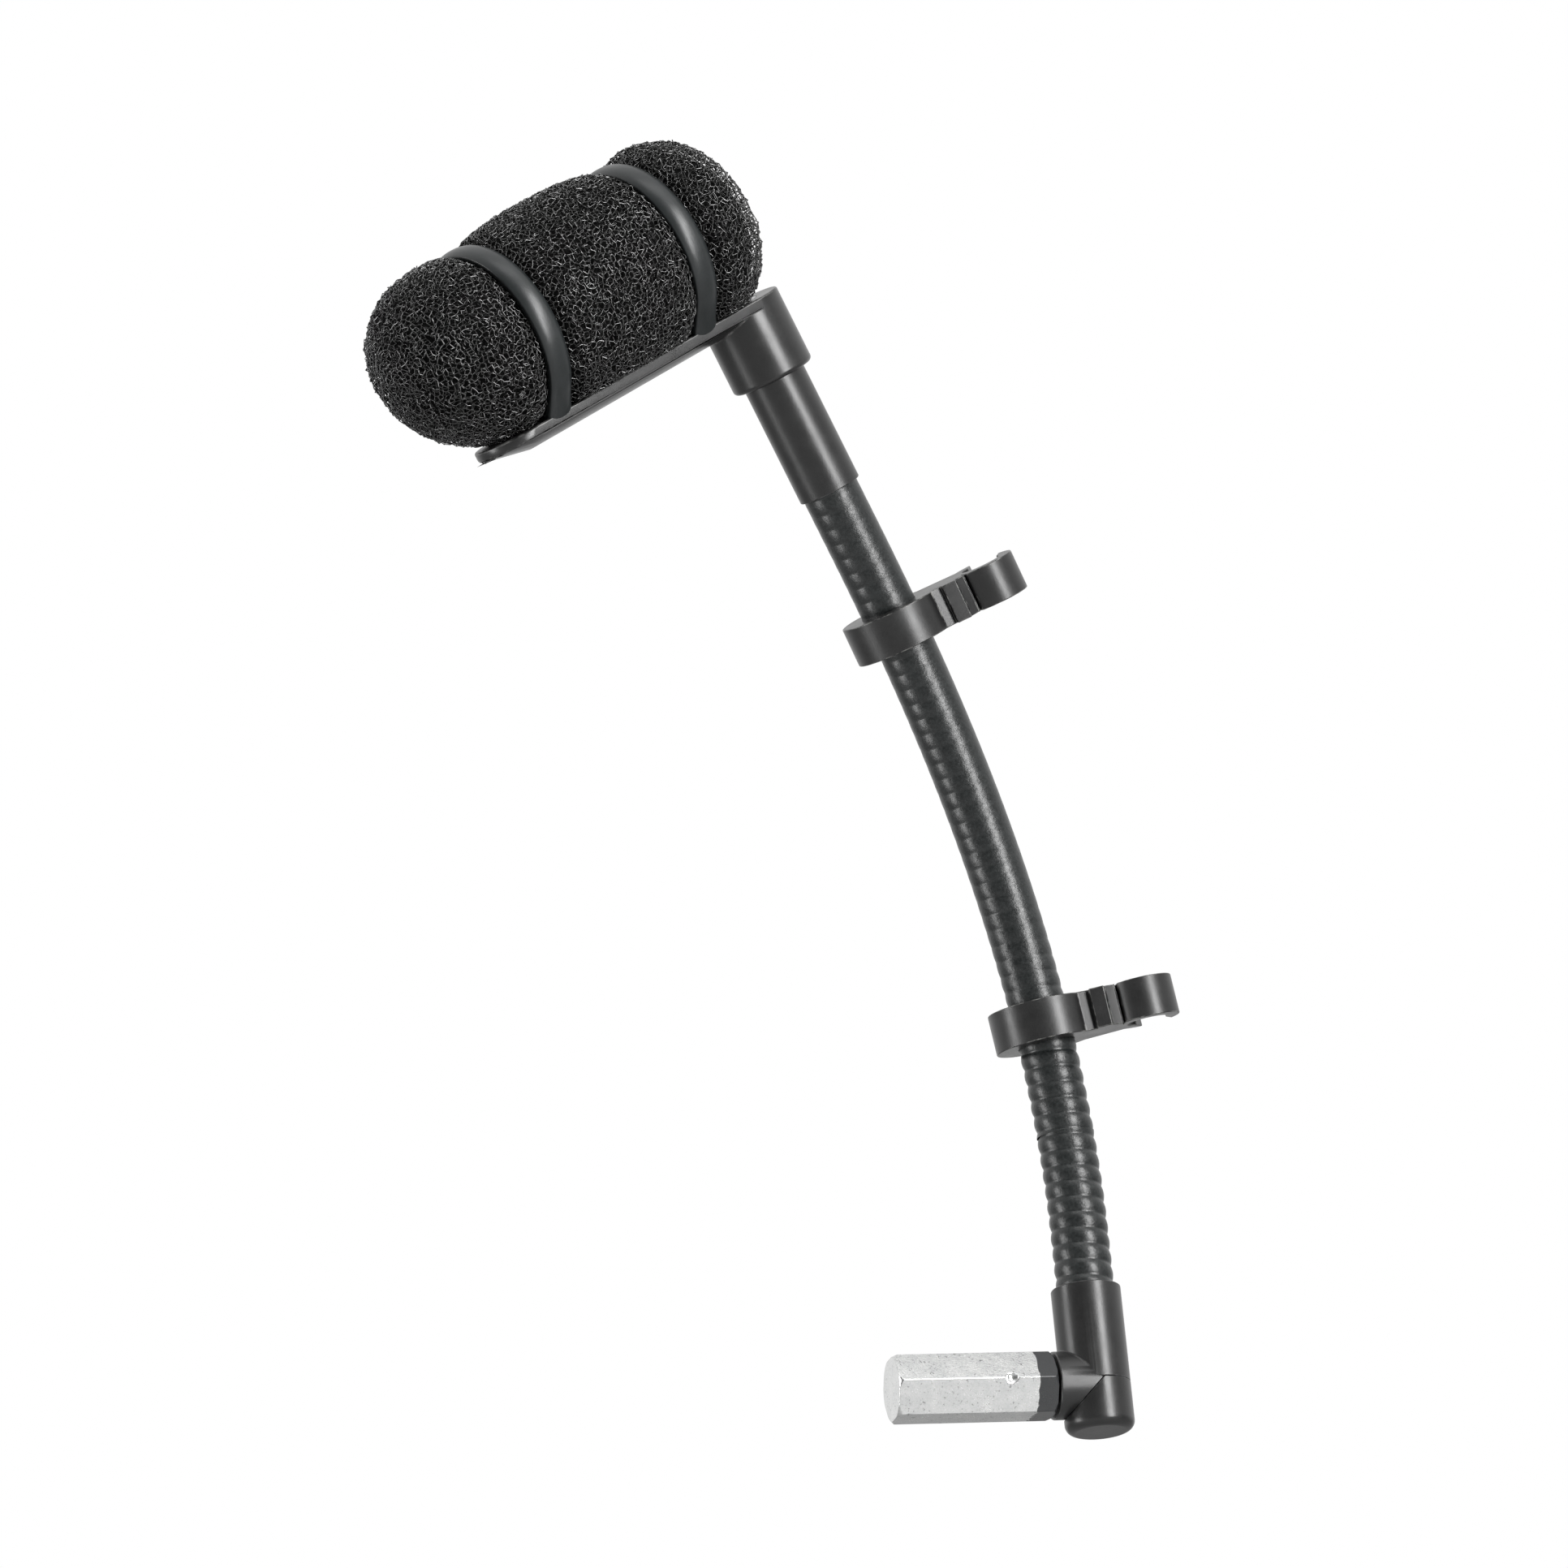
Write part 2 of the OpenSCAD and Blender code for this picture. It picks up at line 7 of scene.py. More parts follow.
import bmesh
import bpy
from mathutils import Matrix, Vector, noise
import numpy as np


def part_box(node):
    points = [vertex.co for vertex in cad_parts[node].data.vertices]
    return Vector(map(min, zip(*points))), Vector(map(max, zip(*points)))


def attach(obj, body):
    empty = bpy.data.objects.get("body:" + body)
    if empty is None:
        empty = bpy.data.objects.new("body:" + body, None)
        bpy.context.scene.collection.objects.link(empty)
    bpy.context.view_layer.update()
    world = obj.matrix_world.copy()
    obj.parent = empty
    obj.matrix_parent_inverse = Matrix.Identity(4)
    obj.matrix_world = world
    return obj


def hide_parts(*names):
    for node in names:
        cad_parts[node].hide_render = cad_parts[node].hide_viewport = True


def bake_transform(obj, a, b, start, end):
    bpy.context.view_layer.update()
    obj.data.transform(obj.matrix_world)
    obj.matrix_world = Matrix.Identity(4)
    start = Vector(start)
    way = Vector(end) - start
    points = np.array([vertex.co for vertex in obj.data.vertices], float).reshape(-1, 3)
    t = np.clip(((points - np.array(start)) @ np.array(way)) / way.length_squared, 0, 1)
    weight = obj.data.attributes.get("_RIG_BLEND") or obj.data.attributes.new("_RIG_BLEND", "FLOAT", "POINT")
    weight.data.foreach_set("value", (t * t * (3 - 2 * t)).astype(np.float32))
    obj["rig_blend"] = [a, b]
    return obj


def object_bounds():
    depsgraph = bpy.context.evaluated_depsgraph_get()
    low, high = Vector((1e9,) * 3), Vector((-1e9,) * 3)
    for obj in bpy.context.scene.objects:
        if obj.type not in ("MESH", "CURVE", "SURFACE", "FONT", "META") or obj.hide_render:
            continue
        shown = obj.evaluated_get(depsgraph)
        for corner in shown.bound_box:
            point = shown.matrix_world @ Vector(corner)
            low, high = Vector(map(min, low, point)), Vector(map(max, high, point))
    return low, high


mm = 0.001

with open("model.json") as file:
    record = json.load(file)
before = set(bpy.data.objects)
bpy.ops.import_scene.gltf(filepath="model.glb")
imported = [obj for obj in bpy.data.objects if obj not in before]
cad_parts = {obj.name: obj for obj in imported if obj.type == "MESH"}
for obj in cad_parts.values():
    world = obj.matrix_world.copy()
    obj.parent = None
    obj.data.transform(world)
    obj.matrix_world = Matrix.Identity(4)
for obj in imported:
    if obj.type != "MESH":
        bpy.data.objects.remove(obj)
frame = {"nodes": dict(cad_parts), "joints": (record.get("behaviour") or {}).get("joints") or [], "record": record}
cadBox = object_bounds()
cad = frame["nodes"]
scene = bpy.context.scene


# ---- where things are, read from the frame ----

jointAt = {j["name"]: Vector(j["pos_m"]) for j in frame["joints"]}
jointAxis = {j["name"]: Vector(j["axis"]).normalized() for j in frame["joints"]}
neckJoints = ["neck_bend_1", "neck_side_2", "neck_bend_3", "neck_side_4",
              "neck_bend_5", "neck_side_6", "neck_bend_7"]
linkBodies = ["base", "link_2", "link_3", "link_4", "link_5", "link_6", "link_7", "neck_top"]


def centreOf(node):
    low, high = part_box(node)
    return (low + high) / 2


neckTop = jointAt["cradle_swivel"]
bossDir = jointAxis["cradle_swivel"]
railDir = (centreOf("front_hoop") - centreOf("rear_hoop")).normalized()
sideDir = bossDir.cross(railDir)


def reach(node, direction):
    # lowest and highest place of a node along a direction, counted from the neck's top
    places = [(v.co - neckTop).dot(direction) for v in cad[node].data.vertices]
    return min(places), max(places)


def onCradle(x, y, z):
    # a place in the cradle's own frame: along the rail, across it, and up the boss
    return neckTop + railDir * x + sideDir * y + bossDir * z


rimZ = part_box("elbow_body")[1].z
neckKnots = [Vector((0, 0, rimZ))] + [jointAt[n] for n in neckJoints] + [neckTop]
railTop = reach("cradle", bossDir)[1]
micZ = sum(reach("mic_housing", bossDir)) / 2
rearHoopX = sum(reach("rear_hoop", railDir)) / 2
frontHoopX = sum(reach("front_hoop", railDir)) / 2
hoopOuter = reach("front_hoop", sideDir)[1]
hoopWidth = reach("front_hoop", railDir)[1] - reach("front_hoop", railDir)[0]
foamBack, foamFront = reach("foam_windscreen", railDir)
micFront = reach("front_grille", railDir)[1]
micRear = reach("rear_cap", railDir)[0]
micRadius = (reach("mic_housing", sideDir)[1] - reach("mic_housing", sideDir)[0]) / 2


# ---- camera and light ----

view = {"azimuth": -14.982, "elevation": -20.345, "roll": -5.331,
        "distance": 700 * mm, "slideX": 31.849 * mm, "slideY": -61.429 * mm, "lens": 157.26}

turn, lift, roll = (math.radians(view[k]) for k in ("azimuth", "elevation", "roll"))
backDir = Vector((math.sin(turn) * math.cos(lift), -math.cos(turn) * math.cos(lift), math.sin(lift)))
levelDir = Vector((math.cos(turn), math.sin(turn), 0))
riseDir = backDir.cross(levelDir)
rightDir = levelDir * math.cos(roll) + riseDir * math.sin(roll)
upDir = riseDir * math.cos(roll) - levelDir * math.sin(roll)

cameraData = bpy.data.cameras.new("camera")
cameraData.lens = view["lens"]
cameraData.sensor_width = 36
cameraData.clip_start = 0.01
camera = bpy.data.objects.new("camera", cameraData)
scene.collection.objects.link(camera)
camera.rotation_mode = "QUATERNION"
turnMatrix = camera.matrix_world.to_3x3()
for row in range(3):
    turnMatrix[row] = (rightDir[row], upDir[row], backDir[row])
camera.rotation_quaternion = turnMatrix.to_quaternion()
camera.location = (rightDir * -view["slideX"] + upDir * -view["slideY"] + backDir * view["distance"])
scene.camera = camera
print("camera placed")

subject = (cadBox[0] + cadBox[1]) / 2
lampLook = {
    "key": {"right": 44, "up": 22, "distance": 0.7, "width": 0.17, "height": 0.7, "power": 8.5},
    "fill": {"right": -74, "up": -6, "distance": 0.8, "width": 0.16, "height": 0.7, "power": 4.2},
    "top": {"right": 10, "up": 78, "distance": 0.8, "width": 0.5, "height": 0.3, "power": 1.0},
}
for name, look in lampLook.items():
    side, high = math.radians(look["right"]), math.radians(look["up"])
    away = (backDir * math.cos(side) + rightDir * math.sin(side)) * math.cos(high) + upDir * math.sin(high)
    lampData = bpy.data.lights.new(name, "AREA")
    lampData.shape = "RECTANGLE"
    lampData.size, lampData.size_y = look["width"], look["height"]
    lampData.energy = look["power"]
    lamp = bpy.data.objects.new(name, lampData)
    scene.collection.objects.link(lamp)
    lamp.location = subject + away * look["distance"]
    lamp.rotation_mode = "QUATERNION"
    lamp.rotation_quaternion = away.to_track_quat("Z", "Y")
print("lamps placed:", ", ".join(lampLook))

world = bpy.data.worlds.new("studio")
scene.world = world
world.use_nodes = True
worldNodes = world.node_tree.nodes
worldLinks = world.node_tree.links
worldNodes.clear()
# the tent is white to look at; its light is dimmer in front and below than above and behind
studio = {"seen": 1.0, "dim": 0.16, "bright": 1.05, "from": -0.4, "to": 0.7, "behind": 0.75, "above": 0.65}
seenPath = worldNodes.new("ShaderNodeLightPath")
brightSide = worldNodes.new("ShaderNodeVectorMath")
brightSide.operation = "DOT_PRODUCT"
worldLinks.new(worldNodes.new("ShaderNodeTexCoord").outputs["Generated"], brightSide.inputs[0])
brightSide.inputs[1].default_value = upDir * studio["above"] - backDir * studio["behind"]
tent = worldNodes.new("ShaderNodeMapRange")
tent.interpolation_type = "SMOOTHSTEP"
tent.inputs["From Min"].default_value = studio["from"]
tent.inputs["From Max"].default_value = studio["to"]
tent.inputs["To Min"].default_value = studio["dim"]
tent.inputs["To Max"].default_value = studio["bright"]
worldLinks.new(brightSide.outputs["Value"], tent.inputs["Value"])
strength = worldNodes.new("ShaderNodeMapRange")
worldLinks.new(tent.outputs["Result"], strength.inputs["To Min"])
strength.inputs["To Max"].default_value = studio["seen"]
background = worldNodes.new("ShaderNodeBackground")
background.inputs["Color"].default_value = (1, 1, 1, 1)
worldOut = worldNodes.new("ShaderNodeOutputWorld")
worldLinks.new(seenPath.outputs["Is Camera Ray"], strength.inputs["Value"])
worldLinks.new(strength.outputs["Result"], background.inputs["Strength"])
worldLinks.new(background.outputs["Background"], worldOut.inputs["Surface"])

floorLook = {"drop": 400 * mm, "half": 4.0, "colour": (0.4, 0.4, 0.4, 1), "glow": 0.94}
floorMesh = bpy.data.meshes.new("floor")
edge, low = floorLook["half"], -floorLook["drop"]
floorMesh.from_pydata([(-edge, -edge, low), (edge, -edge, low), (edge, edge, low), (-edge, edge, low)],
                      [], [(0, 1, 2, 3)])
floor = bpy.data.objects.new("floor", floorMesh)
scene.collection.objects.link(floor)
floorMat = bpy.data.materials.new("paleFloor")
floorMat.use_nodes = True
floorNodes, floorLinks = floorMat.node_tree.nodes, floorMat.node_tree.links
floorShade = floorNodes["Principled BSDF"]
floorShade.inputs["Base Color"].default_value = floorLook["colour"]
floorShade.inputs["Roughness"].default_value = 0.9
glow = floorNodes.new("ShaderNodeEmission")
glow.inputs["Color"].default_value = (1, 1, 1, 1)
floorPath = floorNodes.new("ShaderNodeLightPath")
share = floorNodes.new("ShaderNodeMath")
share.operation = "MULTIPLY"
share.inputs[1].default_value = floorLook["glow"]
floorMix = floorNodes.new("ShaderNodeMixShader")
floorLinks.new(floorPath.outputs["Is Camera Ray"], share.inputs[0])
floorLinks.new(share.outputs[0], floorMix.inputs["Fac"])
floorLinks.new(floorShade.outputs["BSDF"], floorMix.inputs[1])
floorLinks.new(glow.outputs["Emission"], floorMix.inputs[2])
floorLinks.new(floorMix.outputs["Shader"], floorNodes["Material Output"].inputs["Surface"])
floorMesh.materials.append(floorMat)
scene.view_settings.view_transform = "Standard"
print("studio ready")


# ---- shader effects shared by the finishes ----

def effectGroup(name, inputs, outputs):
    group = bpy.data.node_groups.new(name, "ShaderNodeTree")
    for label, kind, value in inputs:
        socket = group.interface.new_socket(name=label, in_out="INPUT", socket_type=kind)
        if value is not None:
            socket.default_value = value
    for label in outputs:
        group.interface.new_socket(name=label, in_out="OUTPUT", socket_type="NodeSocketFloat")
    return group, group.nodes.new("NodeGroupInput"), group.nodes.new("NodeGroupOutput")


def mathNode(tree, operation, a, b=None, c=None, clamp=False):
    # a math node whose inputs are sockets or plain numbers
    node = tree.nodes.new("ShaderNodeMath")
    node.operation = operation
    node.use_clamp = clamp
    for slot, value in enumerate((a, b, c)):
        if value is None:
            continue
        if isinstance(value, (int, float)):
            node.inputs[slot].default_value = value
        else:
            tree.links.new(value, node.inputs[slot])
    return node.outputs[0]


def buildGrain():
    # moulded or blasted grain: small pits and bumps of one size, with a little larger swell
    group, gin, gout = effectGroup("mouldedGrain", [
        ("Vector", "NodeSocketVector", None), ("Scale", "NodeSocketFloat", 4000.0),
        ("Sharpness", "NodeSocketFloat", 1.0)], ["Height", "Shade"])
    fine = group.nodes.new("ShaderNodeTexNoise")
    fine.inputs["Detail"].default_value = 3.0
    fine.inputs["Roughness"].default_value = 0.6
    group.links.new(gin.outputs["Vector"], fine.inputs["Vector"])
    group.links.new(gin.outputs["Scale"], fine.inputs["Scale"])
    swell = group.nodes.new("ShaderNodeTexNoise")
    swell.inputs["Detail"].default_value = 1.0
    wide = mathNode(group, "MULTIPLY", gin.outputs["Scale"], 0.23)
    group.links.new(gin.outputs["Vector"], swell.inputs["Vector"])
    group.links.new(wide, swell.inputs["Scale"])
    centred = mathNode(group, "SUBTRACT", fine.outputs[0], 0.5)
    pushed = mathNode(group, "MULTIPLY", centred, gin.outputs["Sharpness"])
    height = mathNode(group, "MULTIPLY_ADD", swell.outputs[0], 0.35, pushed)
    shade = mathNode(group, "MULTIPLY_ADD", pushed, 2.2, 0.5, clamp=True)
    group.links.new(height, gout.inputs["Height"])
    group.links.new(shade, gout.inputs["Shade"])
    return group


def buildMottle():
    # slow changes of tone, as handling and mould flow leave them
    group, gin, gout = effectGroup("mottle", [
        ("Vector", "NodeSocketVector", None), ("Scale", "NodeSocketFloat", 300.0)], ["Shade"])
    slow = group.nodes.new("ShaderNodeTexNoise")
    slow.inputs["Detail"].default_value = 2.0
    group.links.new(gin.outputs["Vector"], slow.inputs["Vector"])
    group.links.new(gin.outputs["Scale"], slow.inputs["Scale"])
    shade = mathNode(group, "MULTIPLY_ADD", mathNode(group, "SUBTRACT", slow.outputs[0], 0.5), 2.4, 0.5, clamp=True)
    group.links.new(shade, gout.inputs["Shade"])
    return group


def buildRub():
    # rubbed edges: the bevelled strips, broken up by a patchy noise
    group, gin, gout = effectGroup("rubbedEdge", [
        ("Vector", "NodeSocketVector", None), ("Edge", "NodeSocketFloat", 0.0),
        ("Scale", "NodeSocketFloat", 900.0), ("Amount", "NodeSocketFloat", 0.5)], ["Mask"])
    patch = group.nodes.new("ShaderNodeTexNoise")
    patch.inputs["Detail"].default_value = 4.0
    patch.inputs["Roughness"].default_value = 0.65
    group.links.new(gin.outputs["Vector"], patch.inputs["Vector"])
    group.links.new(gin.outputs["Scale"], patch.inputs["Scale"])
    spots = mathNode(group, "MULTIPLY_ADD", mathNode(group, "SUBTRACT", patch.outputs[0], 0.46), 5.0, 0.0, clamp=True)
    worn = mathNode(group, "MULTIPLY", spots, gin.outputs["Edge"])
    mask = mathNode(group, "MULTIPLY", worn, gin.outputs["Amount"], clamp=True)
    group.links.new(mask, gout.inputs["Mask"])
    return group


grainGroup, mottleGroup, rubGroup = buildGrain(), buildMottle(), buildRub()


def placeGroup(tree, group, vector, **values):
    node = tree.nodes.new("ShaderNodeGroup")
    node.node_tree = group
    tree.links.new(vector, node.inputs["Vector"])
    for label, value in values.items():
        node.inputs[label].default_value = value
    return node


def mixColour(tree, fac, first, second):
    node = tree.nodes.new("ShaderNodeMix")
    node.data_type = "RGBA"
    for slot, value in (("Factor_Float", fac), ("A_Color", first), ("B_Color", second)):
        socket = next(s for s in node.inputs if s.identifier == slot)
        if isinstance(value, (int, float)):
            socket.default_value = value
        elif isinstance(value, tuple):
            socket.default_value = (*value, 1)
        else:
            tree.links.new(value, socket)
    return next(s for s in node.outputs if s.identifier == "Result_Color")


def finish(name, look):
    # one surface finish: two tones mixed by grain and mottle, rubbed edges, and a fine bump
    material = bpy.data.materials.new(name)
    material.use_nodes = True
    tree = material.node_tree
    shader = tree.nodes["Principled BSDF"]
    place = tree.nodes.new("ShaderNodeTexCoord").outputs["Object"]
    grain = placeGroup(tree, grainGroup, place, Scale=1 / (look["grain"] * mm), Sharpness=look.get("sharp", 1.0))
    mottle = placeGroup(tree, mottleGroup, place, Scale=1 / (look.get("patch", 3.0) * mm))
    share = look.get("grainShare", 0.5)
    tone = mathNode(tree, "ADD", mathNode(tree, "MULTIPLY", grain.outputs["Shade"], share),
                    mathNode(tree, "MULTIPLY", mottle.outputs["Shade"], 1 - share))
    colour = mixColour(tree, tone, look["dark"], look["light"])
    if "rubbed" in look:
        edge = tree.nodes.new("ShaderNodeAttribute")
        edge.attribute_name = "edge"
        rub = placeGroup(tree, rubGroup, place, Amount=look.get("rubAmount", 0.5))
        tree.links.new(edge.outputs["Fac"], rub.inputs["Edge"])
        colour = mixColour(tree, rub.outputs["Mask"], colour, look["rubbed"])
    tree.links.new(colour, shader.inputs["Base Color"])
    low, high = look["rough"]
    rough = mathNode(tree, "MULTIPLY_ADD", tone, high - low, low)
    tree.links.new(rough, shader.inputs["Roughness"])
    shader.inputs["Metallic"].default_value = look.get("metal", 0.0)
    shader.inputs["Specular IOR Level"].default_value = look.get("specular", 0.5)
    bump = tree.nodes.new("ShaderNodeBump")
    bump.inputs["Distance"].default_value = look["height"] * mm
    bump.inputs["Strength"].default_value = look.get("bump", 1.0)
    tree.links.new(grain.outputs["Height"], bump.inputs["Height"])
    tree.links.new(bump.outputs["Normal"], shader.inputs["Normal"])
    return material


finishes = {
    "cradle_plastic": finish("cradlePlastic", {
        "dark": (0.006, 0.006, 0.006), "light": (0.012, 0.012, 0.012), "rough": (0.26, 0.36),
        "grain": 0.22, "height": 0.004, "patch": 2.5, "rubbed": (0.16, 0.16, 0.155), "rubAmount": 0.5}),
    "hoop_rubber": finish("hoopRubber", {
        "dark": (0.007, 0.009, 0.009), "light": (0.013, 0.015, 0.016), "rough": (0.32, 0.42),
        "grain": 0.18, "height": 0.006, "patch": 2.0}),
    "clip_plastic": finish("clipPlastic", {
        "dark": (0.006, 0.006, 0.006), "light": (0.012, 0.012, 0.012), "rough": (0.30, 0.40),
        "grain": 0.2, "height": 0.005, "patch": 2.0, "rubbed": (0.2, 0.2, 0.19), "rubAmount": 0.6}),
    "jacket_rubber": finish("jacketRubber", {
        "dark": (0.003, 0.004, 0.004), "light": (0.012, 0.014, 0.014), "rough": (0.28, 0.40),
        "grain": 0.3, "height": 0.022, "patch": 1.2, "sharp": 1.3, "grainShare": 0.7}),
    "black_metal": finish("blackPaint", {
        "dark": (0.006, 0.006, 0.006), "light": (0.012, 0.012, 0.012), "rough": (0.28, 0.38),
        "grain": 0.16, "height": 0.006, "patch": 2.0, "rubbed": (0.12, 0.12, 0.12), "rubAmount": 0.35}),
    "spring_steel": finish("springSteel", {
        "dark": (0.34, 0.34, 0.35), "light": (0.46, 0.46, 0.47), "rough": (0.30, 0.42), "metal": 1.0,
        "grain": 0.3, "height": 0.006}),
    "brass": finish("turnedBrass", {
        "dark": (0.50, 0.38, 0.16), "light": (0.66, 0.52, 0.26), "rough": (0.28, 0.40), "metal": 1.0,
        "grain": 0.25, "height": 0.005}),
    "inner_black": finish("innerBlack", {
        "dark": (0.018, 0.018, 0.018), "light": (0.030, 0.030, 0.030), "rough": (0.5, 0.6),
        "grain": 0.3, "height": 0.01}),
    "can_metal": finish("drawnAluminium", {
        "dark": (0.58, 0.58, 0.60), "light": (0.70, 0.70, 0.71), "rough": (0.28, 0.38), "metal": 1.0,
        "grain": 0.2, "height": 0.005}),
    "board": finish("circuitBoard", {
        "dark": (0.012, 0.09, 0.045), "light": (0.02, 0.13, 0.07), "rough": (0.35, 0.5),
        "grain": 0.3, "height": 0.01}),
}
slotOf = {s["node"]: s["material_slot"] for s in frame["record"]["subparts"]}
for nodeName, obj in cad.items():
    material = finishes.get(slotOf[nodeName], finishes["inner_black"])
    obj.data.materials.clear()
    obj.data.materials.append(material)
print("finishes made:", len(finishes))


# ---- helpers for meshes ----

def newPiece(name, places, faces, material=None, smooth=True):
    mesh = bpy.data.meshes.new(name)
    mesh.from_pydata([tuple(p) for p in places], [], faces)
    mesh.validate()
    piece = bpy.data.objects.new(name, mesh)
    scene.collection.objects.link(piece)
    if material:
        mesh.materials.append(material)
    mesh.polygons.foreach_set("use_smooth", [smooth] * len(mesh.polygons))
    return piece


def pointOutward(piece):
    # turns every face of a closed piece outward
    work = bmesh.new()
    work.from_mesh(piece.data)
    bmesh.ops.remove_doubles(work, verts=work.verts, dist=1e-6)
    bmesh.ops.recalc_face_normals(work, faces=work.faces)
    work.to_mesh(piece.data)
    work.free()


def evaluatedMesh(piece, name):
    graph = bpy.context.evaluated_depsgraph_get()
    mesh = bpy.data.meshes.new_from_object(piece.evaluated_get(graph))
    mesh.name = name
    return mesh


def roundedCopy(nodeName, pieceName, body, radius, steps=3, corner=30):
    # a CAD node with its edges rounded; the rounded strips are marked for the rubbed-edge effect
    mesh = cad[nodeName].data.copy()
    mesh.name = pieceName
    work = bmesh.new()
    work.from_mesh(mesh)
    bmesh.ops.remove_doubles(work, verts=work.verts, dist=2e-6)
    bmesh.ops.dissolve_limit(work, angle_limit=math.radians(0.5), verts=work.verts, edges=work.edges)
    work.to_mesh(mesh)
    work.free()
    material = finishes.get(slotOf[nodeName], finishes["inner_black"])
    mesh.materials.clear()
    mesh.materials.append(material)
    mesh.materials.append(material)
    mesh.polygons.foreach_set("use_smooth", [True] * len(mesh.polygons))
    piece = bpy.data.objects.new(pieceName, mesh)
    scene.collection.objects.link(piece)
    bevel = piece.modifiers.new("round", "BEVEL")
    bevel.width = radius * mm
    bevel.segments = steps
    bevel.limit_method = "ANGLE"
    bevel.angle_limit = math.radians(corner)
    bevel.use_clamp_overlap = False
    bevel.material = 1
    bevel.miter_outer = "MITER_ARC"
    even = piece.modifiers.new("flatten", "WEIGHTED_NORMAL")
    even.weight = 100
    even.keep_sharp = True
    rounded = evaluatedMesh(piece, pieceName)
    piece.modifiers.clear()
    strips = [p.material_index == 1 for p in rounded.polygons]
    rounded.polygons.foreach_set("material_index", [0] * len(strips))
    mark = rounded.attributes.new("edge", "FLOAT", "FACE")
    mark.data.foreach_set("value", [1.0 if s else 0.0 for s in strips])
    rounded.materials.clear()
    rounded.materials.append(material)
    piece.data = rounded
    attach(piece, body)
    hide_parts(nodeName)
    return piece


def setInput(modifier, label, value):
    for item in modifier.node_group.interface.items_tree:
        if item.item_type == "SOCKET" and item.in_out == "INPUT" and item.name == label:
            modifier[item.identifier] = value


def treeInput(tree, label, kind, value=None):
    socket = tree.interface.new_socket(name=label, in_out="INPUT", socket_type=kind)
    if value is not None:
        socket.default_value = value


# ---- hard pieces: elbow, sleeve, cradle and clips, with their edges rounded ----

edges = {"elbow": 0.14, "elbowCap": 0.08, "sleeve": 0.12, "cradle": 0.2, "clip": 0.11}

roundedCopy("elbow_body", "elbowBody", "base", edges["elbow"])
roundedCopy("elbow_cap", "elbowCap", "base", edges["elbowCap"])
roundedCopy("top_sleeve", "topSleeve", "neck_top", edges["sleeve"])
roundedCopy("cradle", "cradleRail", "mic_cradle", edges["cradle"])
roundedCopy("lower_clip", "lowerClip", "lower_clip_body", edges["clip"])
roundedCopy("upper_clip", "upperClip", "upper_clip_body", edges["clip"])
print("hard pieces rounded")


# ---- hexagonal stud: bare speckled metal with a painted root ----

studLook = {"bright": (0.72, 0.72, 0.71), "dull": (0.52, 0.53, 0.53), "speck": (0.10, 0.10, 0.10),
            "paint": (0.022, 0.023, 0.024), "rootAt": -6.8 * mm, "ragged": 0.35 * mm,
            "run": 0.8 * mm, "speckSize": 0.28, "rough": (0.20, 0.29)}


def studFinish():
    material = bpy.data.materials.new("bareStud")
    material.use_nodes = True
    tree = material.node_tree
    shader = tree.nodes["Principled BSDF"]
    place = tree.nodes.new("ShaderNodeTexCoord").outputs["Object"]
    apart = tree.nodes.new("ShaderNodeSeparateXYZ")
    tree.links.new(place, apart.inputs[0])
    grain = placeGroup(tree, grainGroup, place, Scale=1 / (0.16 * mm), Sharpness=1.2)
    mottle = placeGroup(tree, mottleGroup, place, Scale=1 / (1.6 * mm))
    specks = placeGroup(tree, grainGroup, place, Scale=1 / (studLook["speckSize"] * mm), Sharpness=1.0)
    tone = mathNode(tree, "ADD", mathNode(tree, "MULTIPLY", grain.outputs["Shade"], 0.55),
                    mathNode(tree, "MULTIPLY", mottle.outputs["Shade"], 0.45))
    bare = mixColour(tree, tone, studLook["dull"], studLook["bright"])
    dirt = mathNode(tree, "MULTIPLY", mathNode(tree, "SUBTRACT", 0.26, specks.outputs["Shade"]), 6.0, clamp=True)
    patchy = mathNode(tree, "MULTIPLY", dirt, mathNode(tree, "SUBTRACT", 1.1, mottle.outputs["Shade"]), clamp=True)
    bare = mixColour(tree, patchy, bare, studLook["speck"])
    # the paint ends in a ragged line, and runs further along under the stud
    under = mathNode(tree, "MULTIPLY_ADD", apart.outputs["Z"], -1 / (1.6 * mm), -1.25, clamp=True)
    raggedBy = mathNode(tree, "MULTIPLY", mathNode(tree, "SUBTRACT", mottle.outputs["Shade"], 0.5), studLook["ragged"])
    shifted = mathNode(tree, "ADD", mathNode(tree, "ADD", apart.outputs["X"], raggedBy),
                       mathNode(tree, "MULTIPLY", mathNode(tree, "MULTIPLY", under, specks.outputs["Shade"]),
                                studLook["run"]))
    painted = mathNode(tree, "MULTIPLY_ADD", mathNode(tree, "SUBTRACT", shifted, studLook["rootAt"]),
                       1 / (0.06 * mm), 0.5, clamp=True)
    colour = mixColour(tree, painted, bare, studLook["paint"])
    tree.links.new(colour, shader.inputs["Base Color"])
    tree.links.new(mathNode(tree, "SUBTRACT", 1.0, painted), shader.inputs["Metallic"])
    low, high = studLook["rough"]
    tree.links.new(mathNode(tree, "MULTIPLY_ADD", tone, high - low, low), shader.inputs["Roughness"])
    bump = tree.nodes.new("ShaderNodeBump")
    bump.inputs["Distance"].default_value = 0.012 * mm
    tree.links.new(grain.outputs["Height"], bump.inputs["Height"])
    tree.links.new(bump.outputs["Normal"], shader.inputs["Normal"])
    return material


finishes["bare_metal"] = studFinish()
roundedCopy("hex_stud", "hexStud", "base", 0.07, steps=2)
print("stud made")


# ---- neck skin: one rubber sleeve over the winding, in a piece for each joint ----

